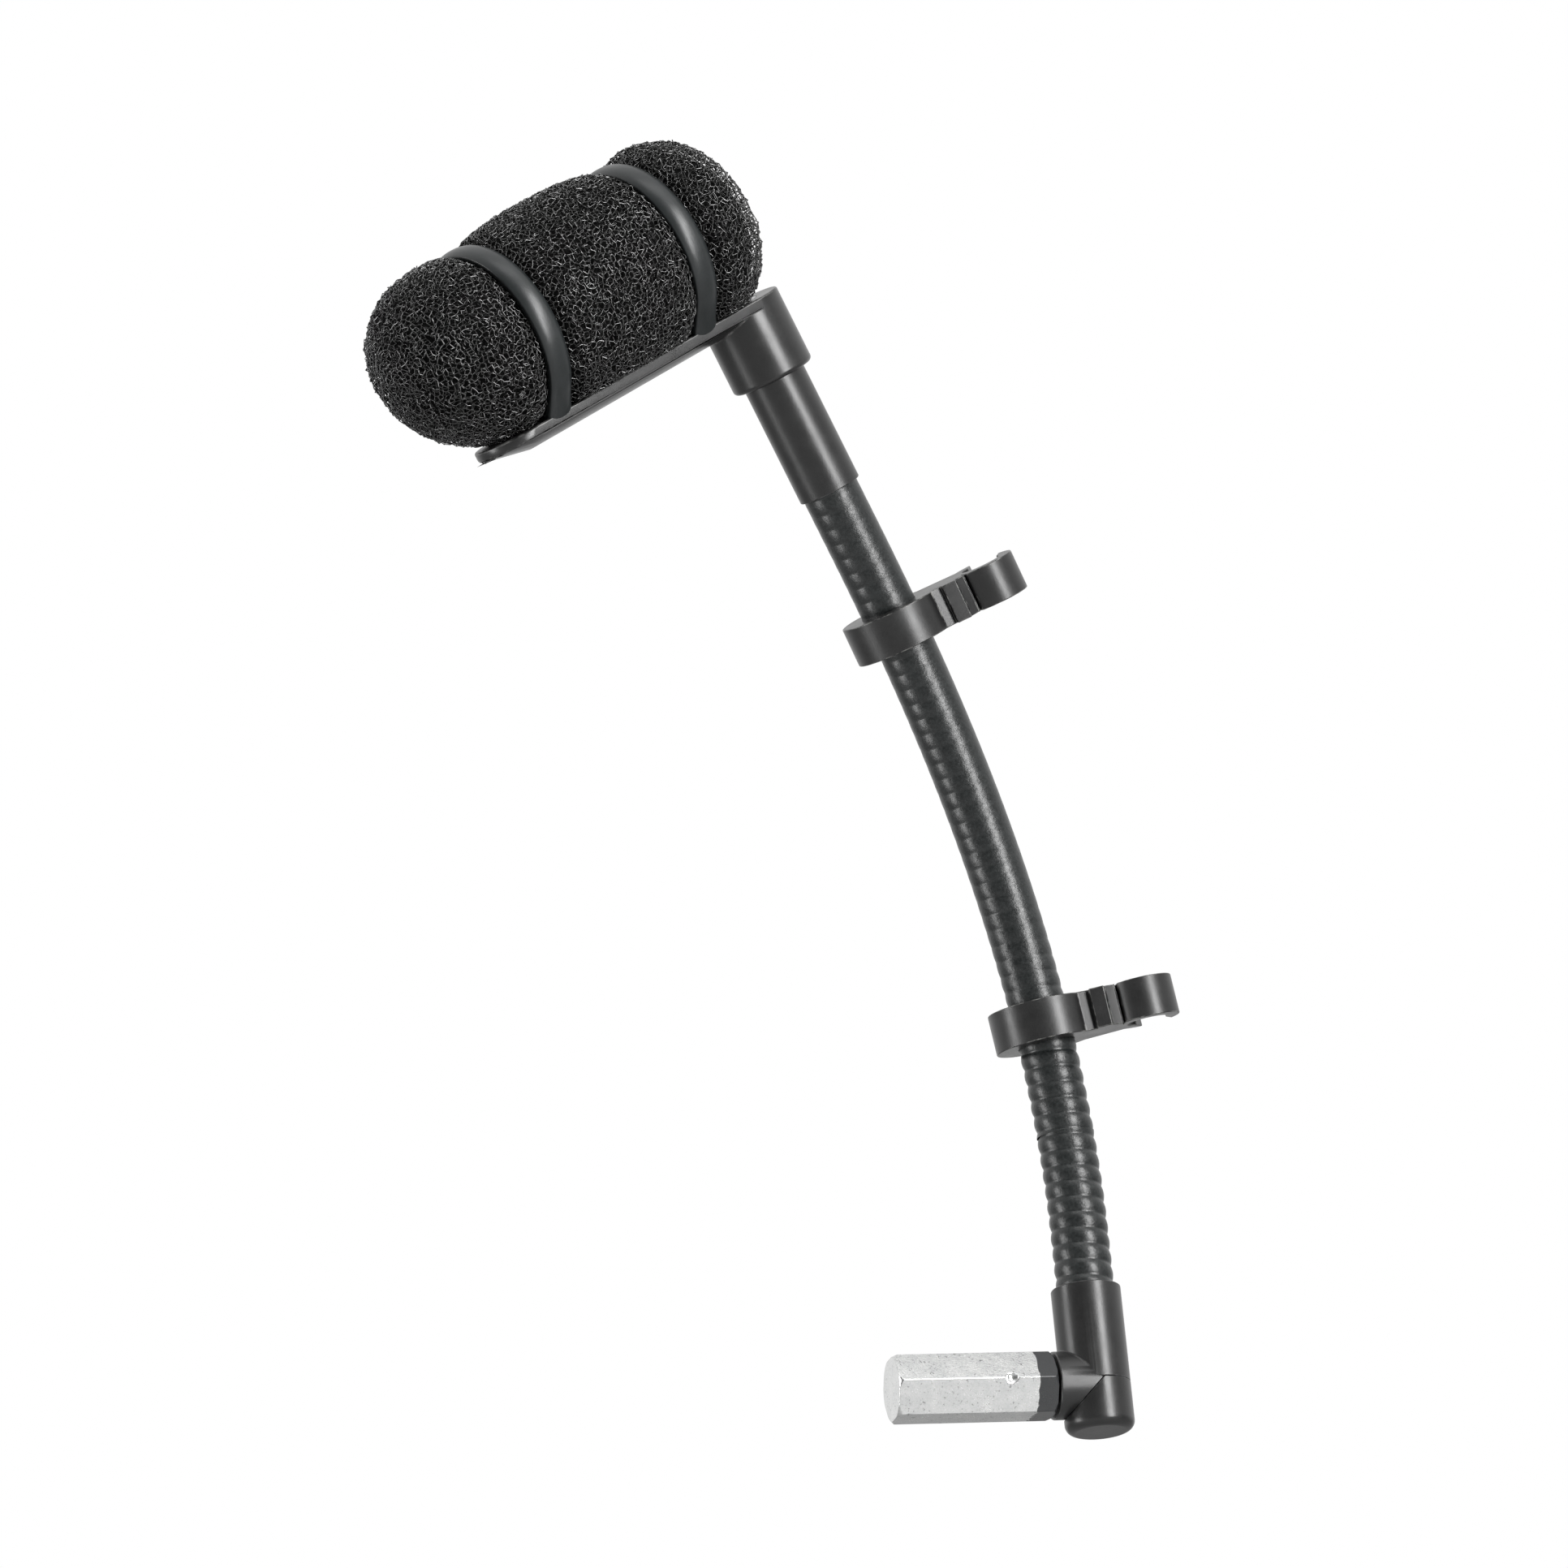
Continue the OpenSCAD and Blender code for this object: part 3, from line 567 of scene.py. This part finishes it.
neckLook = {"radius": 3.0, "pitch": 1.7, "depth": 0.2, "high": 0.05, "fadeFrom": 22.0,
            "fadeTo": 44.0, "innerShare": 0.6, "crest": 0.8, "ringStep": 0.12, "around": 60,
            "tuck": 3.0, "clipHold": 2.3}


def neckLine():
    # centreline with an even bend from the middle of each link to the middle of the next
    first = neckKnots[0] - Vector((0, 0, neckLook["tuck"] * mm))
    last = neckKnots[-1] + (neckKnots[-1] - neckKnots[-2]).normalized() * neckLook["tuck"] * mm
    middles = [(a + b) / 2 for a, b in zip(neckKnots, neckKnots[1:])]
    line = [first, neckKnots[0]]
    steps = 24
    for k in range(len(middles) - 1):
        start, bendAt, stop = middles[k], neckKnots[k + 1], middles[k + 1]
        for i in range(steps + 1 if k == len(middles) - 2 else steps):
            t = i / steps
            line.append(start * (1 - t) ** 2 + bendAt * 2 * t * (1 - t) + stop * t * t)
    return line + [neckKnots[-1], last], middles


def buildNeckTree():
    tree = bpy.data.node_groups.new("neckSkin", "GeometryNodeTree")
    treeInput(tree, "Geometry", "NodeSocketGeometry")
    for label in ("From", "To", "Radius", "Rib Pitch", "Rib Depth", "Crest", "Fade From", "Fade To",
                  "High Share", "Inner Share", "Ring Step"):
        treeInput(tree, label, "NodeSocketFloat")
    treeInput(tree, "Around", "NodeSocketInt")
    treeInput(tree, "Inner Side", "NodeSocketVector")
    treeInput(tree, "Skin", "NodeSocketMaterial")
    tree.interface.new_socket(name="Geometry", in_out="OUTPUT", socket_type="NodeSocketGeometry")
    gin, gout = tree.nodes.new("NodeGroupInput"), tree.nodes.new("NodeGroupOutput")
    link = tree.links.new

    def capture(geometry, kind, value):
        node = tree.nodes.new("GeometryNodeCaptureAttribute")
        node.capture_items.new(kind, "kept")
        link(geometry, node.inputs["Geometry"])
        link(value, node.inputs[1])
        return node.outputs["Geometry"], node.outputs[1]

    line = tree.nodes.new("GeometryNodeMeshToCurve")
    link(gin.outputs["Geometry"], line.inputs["Mesh"])
    along = tree.nodes.new("GeometryNodeSplineParameter")
    geometry, length = capture(line.outputs["Curve"], "FLOAT", along.outputs["Length"])
    trim = tree.nodes.new("GeometryNodeTrimCurve")
    trim.mode = "LENGTH"
    link(geometry, trim.inputs["Curve"])
    starts = [s for s in trim.inputs if s.enabled and s.name in ("Start", "End")]
    link(gin.outputs["From"], starts[0])
    link(gin.outputs["To"], starts[1])
    rings = tree.nodes.new("GeometryNodeResampleCurve")
    rings.mode = "LENGTH"
    link(trim.outputs["Curve"], rings.inputs["Curve"])
    link(gin.outputs["Ring Step"], rings.inputs["Length"])
    here = tree.nodes.new("GeometryNodeInputPosition")
    geometry, axisPoint = capture(rings.outputs["Curve"], "VECTOR", here.outputs["Position"])
    circle = tree.nodes.new("GeometryNodeCurvePrimitiveCircle")
    link(gin.outputs["Around"], circle.inputs["Resolution"])
    link(gin.outputs["Radius"], circle.inputs["Radius"])
    aroundParam = tree.nodes.new("GeometryNodeSplineParameter")
    profile, turnShare = capture(circle.outputs["Curve"], "FLOAT", aroundParam.outputs["Factor"])
    tube = tree.nodes.new("GeometryNodeCurveToMesh")
    link(geometry, tube.inputs["Curve"])
    link(profile, tube.inputs["Profile Curve"])

    # height of the winding under the rubber: broad crests, narrow grooves, one turn a pitch
    turns = mathNode(tree, "ADD", mathNode(tree, "DIVIDE", length, gin.outputs["Rib Pitch"]), turnShare)
    wave = mathNode(tree, "ABSOLUTE", mathNode(tree, "SINE", mathNode(tree, "MULTIPLY", turns, math.pi)))
    groove = mathNode(tree, "SUBTRACT", 1.0, mathNode(tree, "POWER", wave, gin.outputs["Crest"]))
    fade = tree.nodes.new("ShaderNodeMapRange")
    fade.interpolation_type = "SMOOTHSTEP"
    link(length, fade.inputs["Value"])
    link(gin.outputs["Fade From"], fade.inputs["From Min"])
    link(gin.outputs["Fade To"], fade.inputs["From Max"])
    fade.inputs["To Min"].default_value = 1.0
    link(gin.outputs["High Share"], fade.inputs["To Max"])
    outward = tree.nodes.new("ShaderNodeVectorMath")
    outward.operation = "SUBTRACT"
    link(here.outputs["Position"], outward.inputs[0])
    link(axisPoint, outward.inputs[1])
    unit = tree.nodes.new("ShaderNodeVectorMath")
    unit.operation = "NORMALIZE"
    link(outward.outputs[0], unit.inputs[0])
    facing = tree.nodes.new("ShaderNodeVectorMath")
    facing.operation = "DOT_PRODUCT"
    link(unit.outputs[0], facing.inputs[0])
    link(gin.outputs["Inner Side"], facing.inputs[1])
    inner = mathNode(tree, "MULTIPLY", mathNode(tree, "MULTIPLY_ADD", facing.outputs["Value"], 1.7, -0.6, clamp=True),
                     gin.outputs["Inner Share"])
    amount = mathNode(tree, "MAXIMUM", fade.outputs["Result"], inner)
    depth = mathNode(tree, "MULTIPLY", mathNode(tree, "MULTIPLY", groove, amount), gin.outputs["Rib Depth"])
    push = tree.nodes.new("ShaderNodeVectorMath")
    push.operation = "SCALE"
    link(unit.outputs[0], push.inputs[0])
    link(mathNode(tree, "MULTIPLY", depth, -1.0), push.inputs["Scale"])
    shift = tree.nodes.new("GeometryNodeSetPosition")
    link(tube.outputs["Mesh"], shift.inputs["Geometry"])
    link(push.outputs[0], shift.inputs["Offset"])
    smooth = tree.nodes.new("GeometryNodeSetShadeSmooth")
    link(shift.outputs["Geometry"], smooth.inputs["Geometry"])
    whole = tree.nodes.new("GeometryNodeRealizeInstances")
    link(smooth.outputs["Geometry"], whole.inputs["Geometry"])
    dress = tree.nodes.new("GeometryNodeSetMaterial")
    link(whole.outputs["Geometry"], dress.inputs["Geometry"])
    link(gin.outputs["Skin"], dress.inputs["Material"])
    link(dress.outputs["Geometry"], gout.inputs["Geometry"])
    return tree


neckTree = buildNeckTree()
linePoints, middles = neckLine()
lineLength = [0.0]
for a, b in zip(linePoints, linePoints[1:]):
    lineLength.append(lineLength[-1] + (b - a).length)
middleAt = [min(zip(linePoints, lineLength), key=lambda pair: (pair[0] - m).length)[1] for m in middles]
bendSide = Vector((neckKnots[-1].x, neckKnots[-1].y, 0)).normalized()

for k in range(len(middles) - 1):
    host = bpy.data.meshes.new("neckLine")
    host.from_pydata([tuple(p) for p in linePoints], [(i, i + 1) for i in range(len(linePoints) - 1)], [])
    piece = bpy.data.objects.new("neckSkin%d" % (k + 1), host)
    scene.collection.objects.link(piece)
    modifier = piece.modifiers.new("skin", "NODES")
    modifier.node_group = neckTree
    fromAt = 0.0 if k == 0 else middleAt[k]
    toAt = lineLength[-1] if k == len(middles) - 2 else middleAt[k + 1]
    rimOffset = neckLook["tuck"]
    for label, value in {
            "From": fromAt, "To": toAt, "Radius": neckLook["radius"] * mm,
            "Rib Pitch": neckLook["pitch"] * mm, "Rib Depth": neckLook["depth"] * mm,
            "Crest": neckLook["crest"], "Fade From": (neckLook["fadeFrom"] + rimOffset) * mm,
            "Fade To": (neckLook["fadeTo"] + rimOffset) * mm, "High Share": neckLook["high"],
            "Inner Share": neckLook["innerShare"], "Ring Step": neckLook["ringStep"] * mm,
            "Around": neckLook["around"], "Inner Side": bendSide,
            "Skin": finishes["jacket_rubber"]}.items():
        setInput(modifier, label, value)
    mesh = evaluatedMesh(piece, "neckSkin%d" % (k + 1))
    piece.modifiers.clear()
    piece.data = mesh
    for name in [a.name for a in mesh.attributes if a.name.startswith("kept")]:
        mesh.attributes.remove(mesh.attributes[name])
    along = (middles[k + 1] - middles[k]).normalized()
    hold = along * neckLook["clipHold"] * mm
    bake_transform(piece, linkBodies[k], linkBodies[k + 1], start=middles[k] + hold, end=middles[k + 1] - hold)
    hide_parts("neck_jacket_%d" % (k + 1), "neck_jacket_%d" % (k + 2))
print("neck skin:", len(middles) - 1, "pieces")


# ---- hoops: moulded bands with a rounded face, standing on the rail ----

hoopLook = {"thick": 1.1, "edgeDrop": 0.42, "footY": 4.05, "footWide": 1.16, "footThick": 1.25, "sink": 0.4}


def hoopPath():
    # from one foot over the top to the other: place across, place up, outward direction, share of foot
    middle = hoopOuter - hoopLook["thick"] / 2 * mm
    down = micZ - railTop
    footY = hoopLook["footY"] * mm
    swing = math.hypot(down, footY)
    leave = math.acos(-middle / swing) - math.atan2(footY, down)
    straight = math.sqrt(swing ** 2 - middle ** 2)
    path = []
    legSteps, arcSteps = 10, 84
    for i in range(arcSteps + 1):
        angle = leave * i / arcSteps
        path.append((middle * math.sin(angle), middle * math.cos(angle), angle, 0.0))
    for i in range(1, legSteps + 1):
        far = (straight + hoopLook["sink"] * mm) * i / legSteps
        path.append((middle * math.sin(leave) + far * math.cos(leave),
                     middle * math.cos(leave) - far * math.sin(leave), leave, i / legSteps))
    other = [(-y, z, -angle, foot) for y, z, angle, foot in path[:0:-1]]
    return other + path


def hoopSection(foot):
    # across the band, then outward: flat inside, crowned outside, soft edges
    wide = hoopWidth / 2 * (1 + (hoopLook["footWide"] - 1) * foot ** 3)
    thick = hoopLook["thick"] * mm * (1 + (hoopLook["footThick"] - 1) * foot ** 3)
    drop = hoopLook["edgeDrop"] * mm
    points = []
    count = 14
    for i in range(count + 1):
        s = -1 + 2 * i / count
        x = math.sin(s * math.pi / 2) * wide
        u = abs(x / wide)
        points.append((x, thick / 2 - drop * u ** 2.6 - (0.16 * mm if u > 0.995 else 0)))
    inner = 0.14 * mm
    points += [(wide, -thick / 2 + inner), (wide - inner, -thick / 2),
               (-wide + inner, -thick / 2), (-wide, -thick / 2 + inner)]
    return points


def makeHoop(name, nodeName, atX):
    places, faces = [], []
    path = hoopPath()
    for y, z, angle, foot in path:
        ring = hoopSection(foot)
        for x, out in ring:
            places.append(onCradle(atX + x, y + out * math.sin(angle), micZ + z + out * math.cos(angle)))
    size = len(ring)
    for k in range(len(path) - 1):
        for i in range(size):
            a, b = k * size + i, k * size + (i + 1) % size
            faces.append((a, b, b + size, a + size))
    faces.append(tuple(range(size)))
    faces.append(tuple(range((len(path) - 1) * size, len(path) * size))[::-1])
    piece = newPiece(name, places, faces, finishes["hoop_rubber"])
    pointOutward(piece)
    piece.data.set_sharp_from_angle(angle=math.radians(50))
    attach(piece, "mic_cradle")
    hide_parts(nodeName)
    return piece


makeHoop("rearHoop", "rear_hoop", rearHoopX)
makeHoop("frontHoop", "front_hoop", frontHoopX)
print("hoops made")


# ---- foam windscreen: a core in painted shade, for the dark depths of the pores, under two nets of glossy struts ----

foamLook = {"radius": 9.95, "crown": 0.9, "pinch": 1.1, "pinchWide": 1.9, "frontRound": 11.5, "backRound": 8.6,
            "frontLift": 1.1, "backSwell": 0.5,
            "cell": 0.6, "jitter": 0.34, "strut": 0.06, "innerStrut": 0.065, "innerDepth": 0.45,
            "coreDepth": 0.95, "wobble": 0.9, "missing": 0.1, "inward": 0.45, "inwardLength": 0.5,
            "lift": 0.06, "bore": 0.08, "lip": 1.0}


def foamRadius(x):
    # outer radius at a place along the microphone: three lobes pinched by the hoops
    radius = foamLook["radius"] * mm
    middle, half = (rearHoopX + frontHoopX) / 2, (frontHoopX - rearHoopX) / 2
    if abs(x - middle) < half:
        radius += foamLook["crown"] * mm * (1 - ((x - middle) / half) ** 2)
    radius += foamLook["backSwell"] * mm * min(1.0, max(0.0, (rearHoopX - x) / (3 * mm)))
    for hoopX in (rearHoopX, frontHoopX):
        near = (x - hoopX) / (foamLook["pinchWide"] * mm)
        radius -= foamLook["pinch"] * mm / (1 + near ** 6)
    front = max(0.0, 1 - (foamFront - x) / (foamLook["frontRound"] * mm))
    back = max(0.0, 1 - (x - foamBack) / (foamLook["backRound"] * mm))
    frontShare = max(0.0, 1 - min(1.0, front) ** 2.3) ** (1 / 2.1)
    backShare = max(0.0, 1 - min(1.0, back) ** 2.6) ** (1 / 2.3)
    return radius * frontShare * backShare


def foamOutline(depth, step, endRadius):
    # places along the outline, a step apart, from the front pole to the rear opening
    fine = []
    count = 1600
    for i in range(count + 1):
        share = i / count
        x = foamFront - (foamFront - foamBack) * (0.5 - 0.5 * math.cos(math.pi * share))
        fine.append((x, foamRadius(x)))
    moved = []
    for i, (x, r) in enumerate(fine):
        before, after = fine[max(0, i - 1)], fine[min(count, i + 1)]
        dx, dr = after[0] - before[0], after[1] - before[1]
        size = math.hypot(dx, dr) or 1
        moved.append((x - dr / size * depth, max(0.0, r + dx / size * depth)))
    outline, gone = [moved[0]], 0.0
    for a, b in zip(moved, moved[1:]):
        gone += math.hypot(b[0] - a[0], b[1] - a[1])
        if gone >= step:
            outline.append(b)
            gone = 0.0
        if b[0] < 0 and b[1] < endRadius:
            break
    return outline


def foamPlace(x, radius, angle, lift):
    # the foam lies flat on the rail, and its front lobe stands a little off it
    past = min(1.0, max(0.0, (x - frontHoopX) / (foamFront - frontHoopX)))
    up = foamLook["frontLift"] * mm * past * past * (3 - 2 * past)
    z = max(micZ + up + radius * math.cos(angle), railTop + lift)
    return onCradle(x, radius * math.sin(angle), z)


def netSurface(name, depth, seed):
    # a closed surface of uneven triangles; its dual is the foam's net of cells
    dice = random.Random(seed)
    cell = foamLook["cell"] * mm
    jitter = foamLook["jitter"]
    boreRadius = micRadius + foamLook["bore"] * mm + foamLook["lip"] * mm
    outline = foamOutline(depth, cell * 0.866, boreRadius)
    lift = foamLook["lift"] * mm + depth * 0.5
    places, rings = [foamPlace(outline[0][0], 0, 0, lift)], [[(0, 0.0)]]
    for x, radius in outline[1:]:
        count = max(6, round(2 * math.pi * radius / cell))
        phase = dice.random() / count
        ring = []
        for i in range(count):
            share = (i + dice.uniform(-jitter, jitter)) / count + phase
            across = dice.uniform(-jitter, jitter) * cell
            angle = 2 * math.pi * share
            ring.append((len(places), share))
            places.append(foamPlace(x + across, radius, angle, lift))
        rings.append(ring)
    faces = [(0, rings[1][i][0], rings[1][(i + 1) % len(rings[1])][0]) for i in range(len(rings[1]))]
    for lower, upper in zip(rings[1:], rings[2:]):
        i = j = 0
        while i < len(lower) or j < len(upper):
            nextLow = lower[(i + 1) % len(lower)][1] + (1 if i + 1 >= len(lower) else 0)
            nextUp = upper[(j + 1) % len(upper)][1] + (1 if j + 1 >= len(upper) else 0)
            a, b = lower[i % len(lower)][0], upper[j % len(upper)][0]
            if j >= len(upper) or (i < len(lower) and nextLow < nextUp):
                faces.append((a, b, lower[(i + 1) % len(lower)][0]))
                i += 1
            else:
                faces.append((a, b, upper[(j + 1) % len(upper)][0]))
                j += 1
    return newPiece(name, places, faces)


def buildNetTree():
    tree = bpy.data.node_groups.new("foamNet", "GeometryNodeTree")
    treeInput(tree, "Geometry", "NodeSocketGeometry")
    for label in ("Strut", "Wobble", "Wobble Scale", "Missing", "Inward Share", "Inward Length"):
        treeInput(tree, label, "NodeSocketFloat")
    treeInput(tree, "Sides", "NodeSocketInt")
    treeInput(tree, "Seed", "NodeSocketInt")
    treeInput(tree, "Foam", "NodeSocketMaterial")
    tree.interface.new_socket(name="Geometry", in_out="OUTPUT", socket_type="NodeSocketGeometry")
    gin, gout = tree.nodes.new("NodeGroupInput"), tree.nodes.new("NodeGroupOutput")
    link = tree.links.new
    cells = tree.nodes.new("GeometryNodeDualMesh")
    link(gin.outputs["Geometry"], cells.inputs["Mesh"])
    here = tree.nodes.new("GeometryNodeInputPosition")
    wander = tree.nodes.new("ShaderNodeTexNoise")
    wander.inputs["Detail"].default_value = 1.0
    link(here.outputs["Position"], wander.inputs["Vector"])
    link(gin.outputs["Wobble Scale"], wander.inputs["Scale"])
    centred = tree.nodes.new("ShaderNodeVectorMath")
    centred.operation = "SUBTRACT"
    link(wander.outputs["Color"], centred.inputs[0])
    centred.inputs[1].default_value = (0.5, 0.5, 0.5)
    sized = tree.nodes.new("ShaderNodeVectorMath")
    sized.operation = "SCALE"
    link(centred.outputs[0], sized.inputs[0])
    link(gin.outputs["Wobble"], sized.inputs["Scale"])
    shift = tree.nodes.new("GeometryNodeSetPosition")
    link(cells.outputs["Dual Mesh"], shift.inputs["Geometry"])
    link(sized.outputs[0], shift.inputs["Offset"])
    def chance(share, seedShift):
        # picks a share of the elements at random
        node = tree.nodes.new("FunctionNodeRandomValue")
        node.data_type = "BOOLEAN"
        link(share, next(s for s in node.inputs if s.identifier == "Probability"))
        link(mathNode(tree, "ADD", gin.outputs["Seed"], seedShift), node.inputs["Seed"])
        return next(s for s in node.outputs if s.identifier == "Value_003")

    spikes = tree.nodes.new("GeometryNodeExtrudeMesh")
    spikes.mode = "VERTICES"
    link(shift.outputs["Geometry"], spikes.inputs["Mesh"])
    link(chance(gin.outputs["Inward Share"], 5), spikes.inputs["Selection"])
    outward = tree.nodes.new("GeometryNodeInputNormal")
    inward = tree.nodes.new("ShaderNodeVectorMath")
    inward.operation = "SCALE"
    link(outward.outputs["Normal"], inward.inputs[0])
    link(gin.outputs["Inward Length"], inward.inputs["Scale"])
    bent = tree.nodes.new("ShaderNodeVectorMath")
    bent.operation = "ADD"
    link(inward.outputs[0], bent.inputs[0])
    link(sized.outputs[0], bent.inputs[1])
    link(bent.outputs[0], spikes.inputs["Offset"])
    spikes.inputs["Offset Scale"].default_value = 1.0
    torn = tree.nodes.new("GeometryNodeDeleteGeometry")
    torn.domain = "EDGE"
    torn.mode = "EDGE_FACE"
    link(spikes.outputs["Mesh"], torn.inputs["Geometry"])
    link(chance(gin.outputs["Missing"], 9), torn.inputs["Selection"])
    strands = tree.nodes.new("GeometryNodeMeshToCurve")
    link(torn.outputs["Geometry"], strands.inputs["Mesh"])
    vary = tree.nodes.new("FunctionNodeRandomValue")
    vary.data_type = "FLOAT"
    link(gin.outputs["Seed"], vary.inputs["Seed"])
    lowIn = next(s for s in vary.inputs if s.identifier == "Min_001")
    highIn = next(s for s in vary.inputs if s.identifier == "Max_001")
    lowIn.default_value, highIn.default_value = 0.7, 1.4
    thickness = tree.nodes.new("GeometryNodeSetCurveRadius")
    link(strands.outputs["Curve"], thickness.inputs["Curve"])
    link(next(s for s in vary.outputs if s.identifier == "Value_001"), thickness.inputs["Radius"])
    profile = tree.nodes.new("GeometryNodeCurvePrimitiveCircle")
    link(gin.outputs["Sides"], profile.inputs["Resolution"])
    link(gin.outputs["Strut"], profile.inputs["Radius"])
    tube = tree.nodes.new("GeometryNodeCurveToMesh")
    link(thickness.outputs["Curve"], tube.inputs["Curve"])
    link(profile.outputs["Curve"], tube.inputs["Profile Curve"])
    if "Scale" in tube.inputs:
        radiusNode = tree.nodes.new("GeometryNodeInputRadius")
        link(radiusNode.outputs["Radius"], tube.inputs["Scale"])
    smooth = tree.nodes.new("GeometryNodeSetShadeSmooth")
    link(tube.outputs["Mesh"], smooth.inputs["Geometry"])
    whole = tree.nodes.new("GeometryNodeRealizeInstances")
    link(smooth.outputs["Geometry"], whole.inputs["Geometry"])
    dress = tree.nodes.new("GeometryNodeSetMaterial")
    link(whole.outputs["Geometry"], dress.inputs["Geometry"])
    link(gin.outputs["Foam"], dress.inputs["Material"])
    link(dress.outputs["Geometry"], gout.inputs["Geometry"])
    return tree


strutFinish = finish("foamStrut", {
    "dark": (0.004, 0.004, 0.004), "light": (0.02, 0.02, 0.019), "rough": (0.14, 0.28),
    "grain": 0.35, "height": 0.02, "patch": 1.5, "grainShare": 0.6, "specular": 1.0})
# painted shade: the core is coloured darker and duller than the foam's own struts, to stand for the shade deep in the
# open pores
poreShadeFinish = finish("foamCorePoreShade", {
    "dark": (0.001, 0.001, 0.001), "light": (0.004, 0.004, 0.004), "rough": (0.7, 0.85),
    "grain": 0.45, "height": 0.25, "patch": 1.2, "grainShare": 0.8, "specular": 0.1})

netTree = buildNetTree()
for name, depth, strut, sides, seed in (
        ("foamNetOuter", 0.0, foamLook["strut"], 3, 11),
        ("foamNetInner", foamLook["innerDepth"] * mm, foamLook["innerStrut"], 3, 23)):
    net = netSurface(name, depth, seed)
    modifier = net.modifiers.new("net", "NODES")
    modifier.node_group = netTree
    for label, value in {"Strut": strut * mm, "Wobble": foamLook["wobble"] * mm, "Wobble Scale": 2600.0,
                         "Missing": foamLook["missing"], "Inward Share": foamLook["inward"] if depth == 0 else 0.0,
                         "Inward Length": foamLook["inwardLength"] * mm,
                         "Sides": sides, "Seed": seed, "Foam": strutFinish}.items():
        setInput(modifier, label, value)
    mesh = evaluatedMesh(net, name)
    net.modifiers.clear()
    net.data = mesh
    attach(net, "mic_cradle")
    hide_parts("foam_windscreen")
    print(name, len(mesh.polygons), "faces")


def makePoreShadeCore():
    # one closed skin: the lobes, the rounded rear lip, and the bore that holds the microphone; it is coloured darker
    # and duller than the struts, as painted shade for the deep pores
    depth = foamLook["coreDepth"] * mm
    bore = micRadius + foamLook["bore"] * mm
    outline = foamOutline(depth, 0.45 * mm, bore + 0.3 * mm)
    rearX = outline[-1][0]
    section = outline[1:] + [(rearX + 0.3 * mm, bore), (micFront + 0.1 * mm, bore)]
    around = 120
    lift = foamLook["lift"] * mm + depth * 0.6
    places = [foamPlace(outline[0][0], 0, 0, lift)]
    for x, radius in section:
        for i in range(around):
            angle = 2 * math.pi * i / around
            bump = 1 if radius < bore + 0.2 * mm else 1 + 0.012 * noise.noise(
                Vector((x * 900, math.cos(angle) * 7, math.sin(angle) * 7)))
            places.append(foamPlace(x, radius * bump, angle, lift if radius > bore + 0.2 * mm else 0))
    places.append(onCradle(micFront + 0.1 * mm, 0, micZ))
    faces = [(0, 1 + i, 1 + (i + 1) % around) for i in range(around)]
    for k in range(len(section) - 1):
        for i in range(around):
            a, b = 1 + k * around + i, 1 + k * around + (i + 1) % around
            faces.append((a, a + around, b + around, b))
    base, tip = 1 + (len(section) - 1) * around, len(places) - 1
    faces += [(base + i, tip, base + (i + 1) % around) for i in range(around)]
    piece = newPiece("foamCorePoreShade", places, faces, poreShadeFinish)
    pointOutward(piece)
    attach(piece, "mic_cradle")
    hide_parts("foam_windscreen")
    return piece


makePoreShadeCore()
print("foam made")
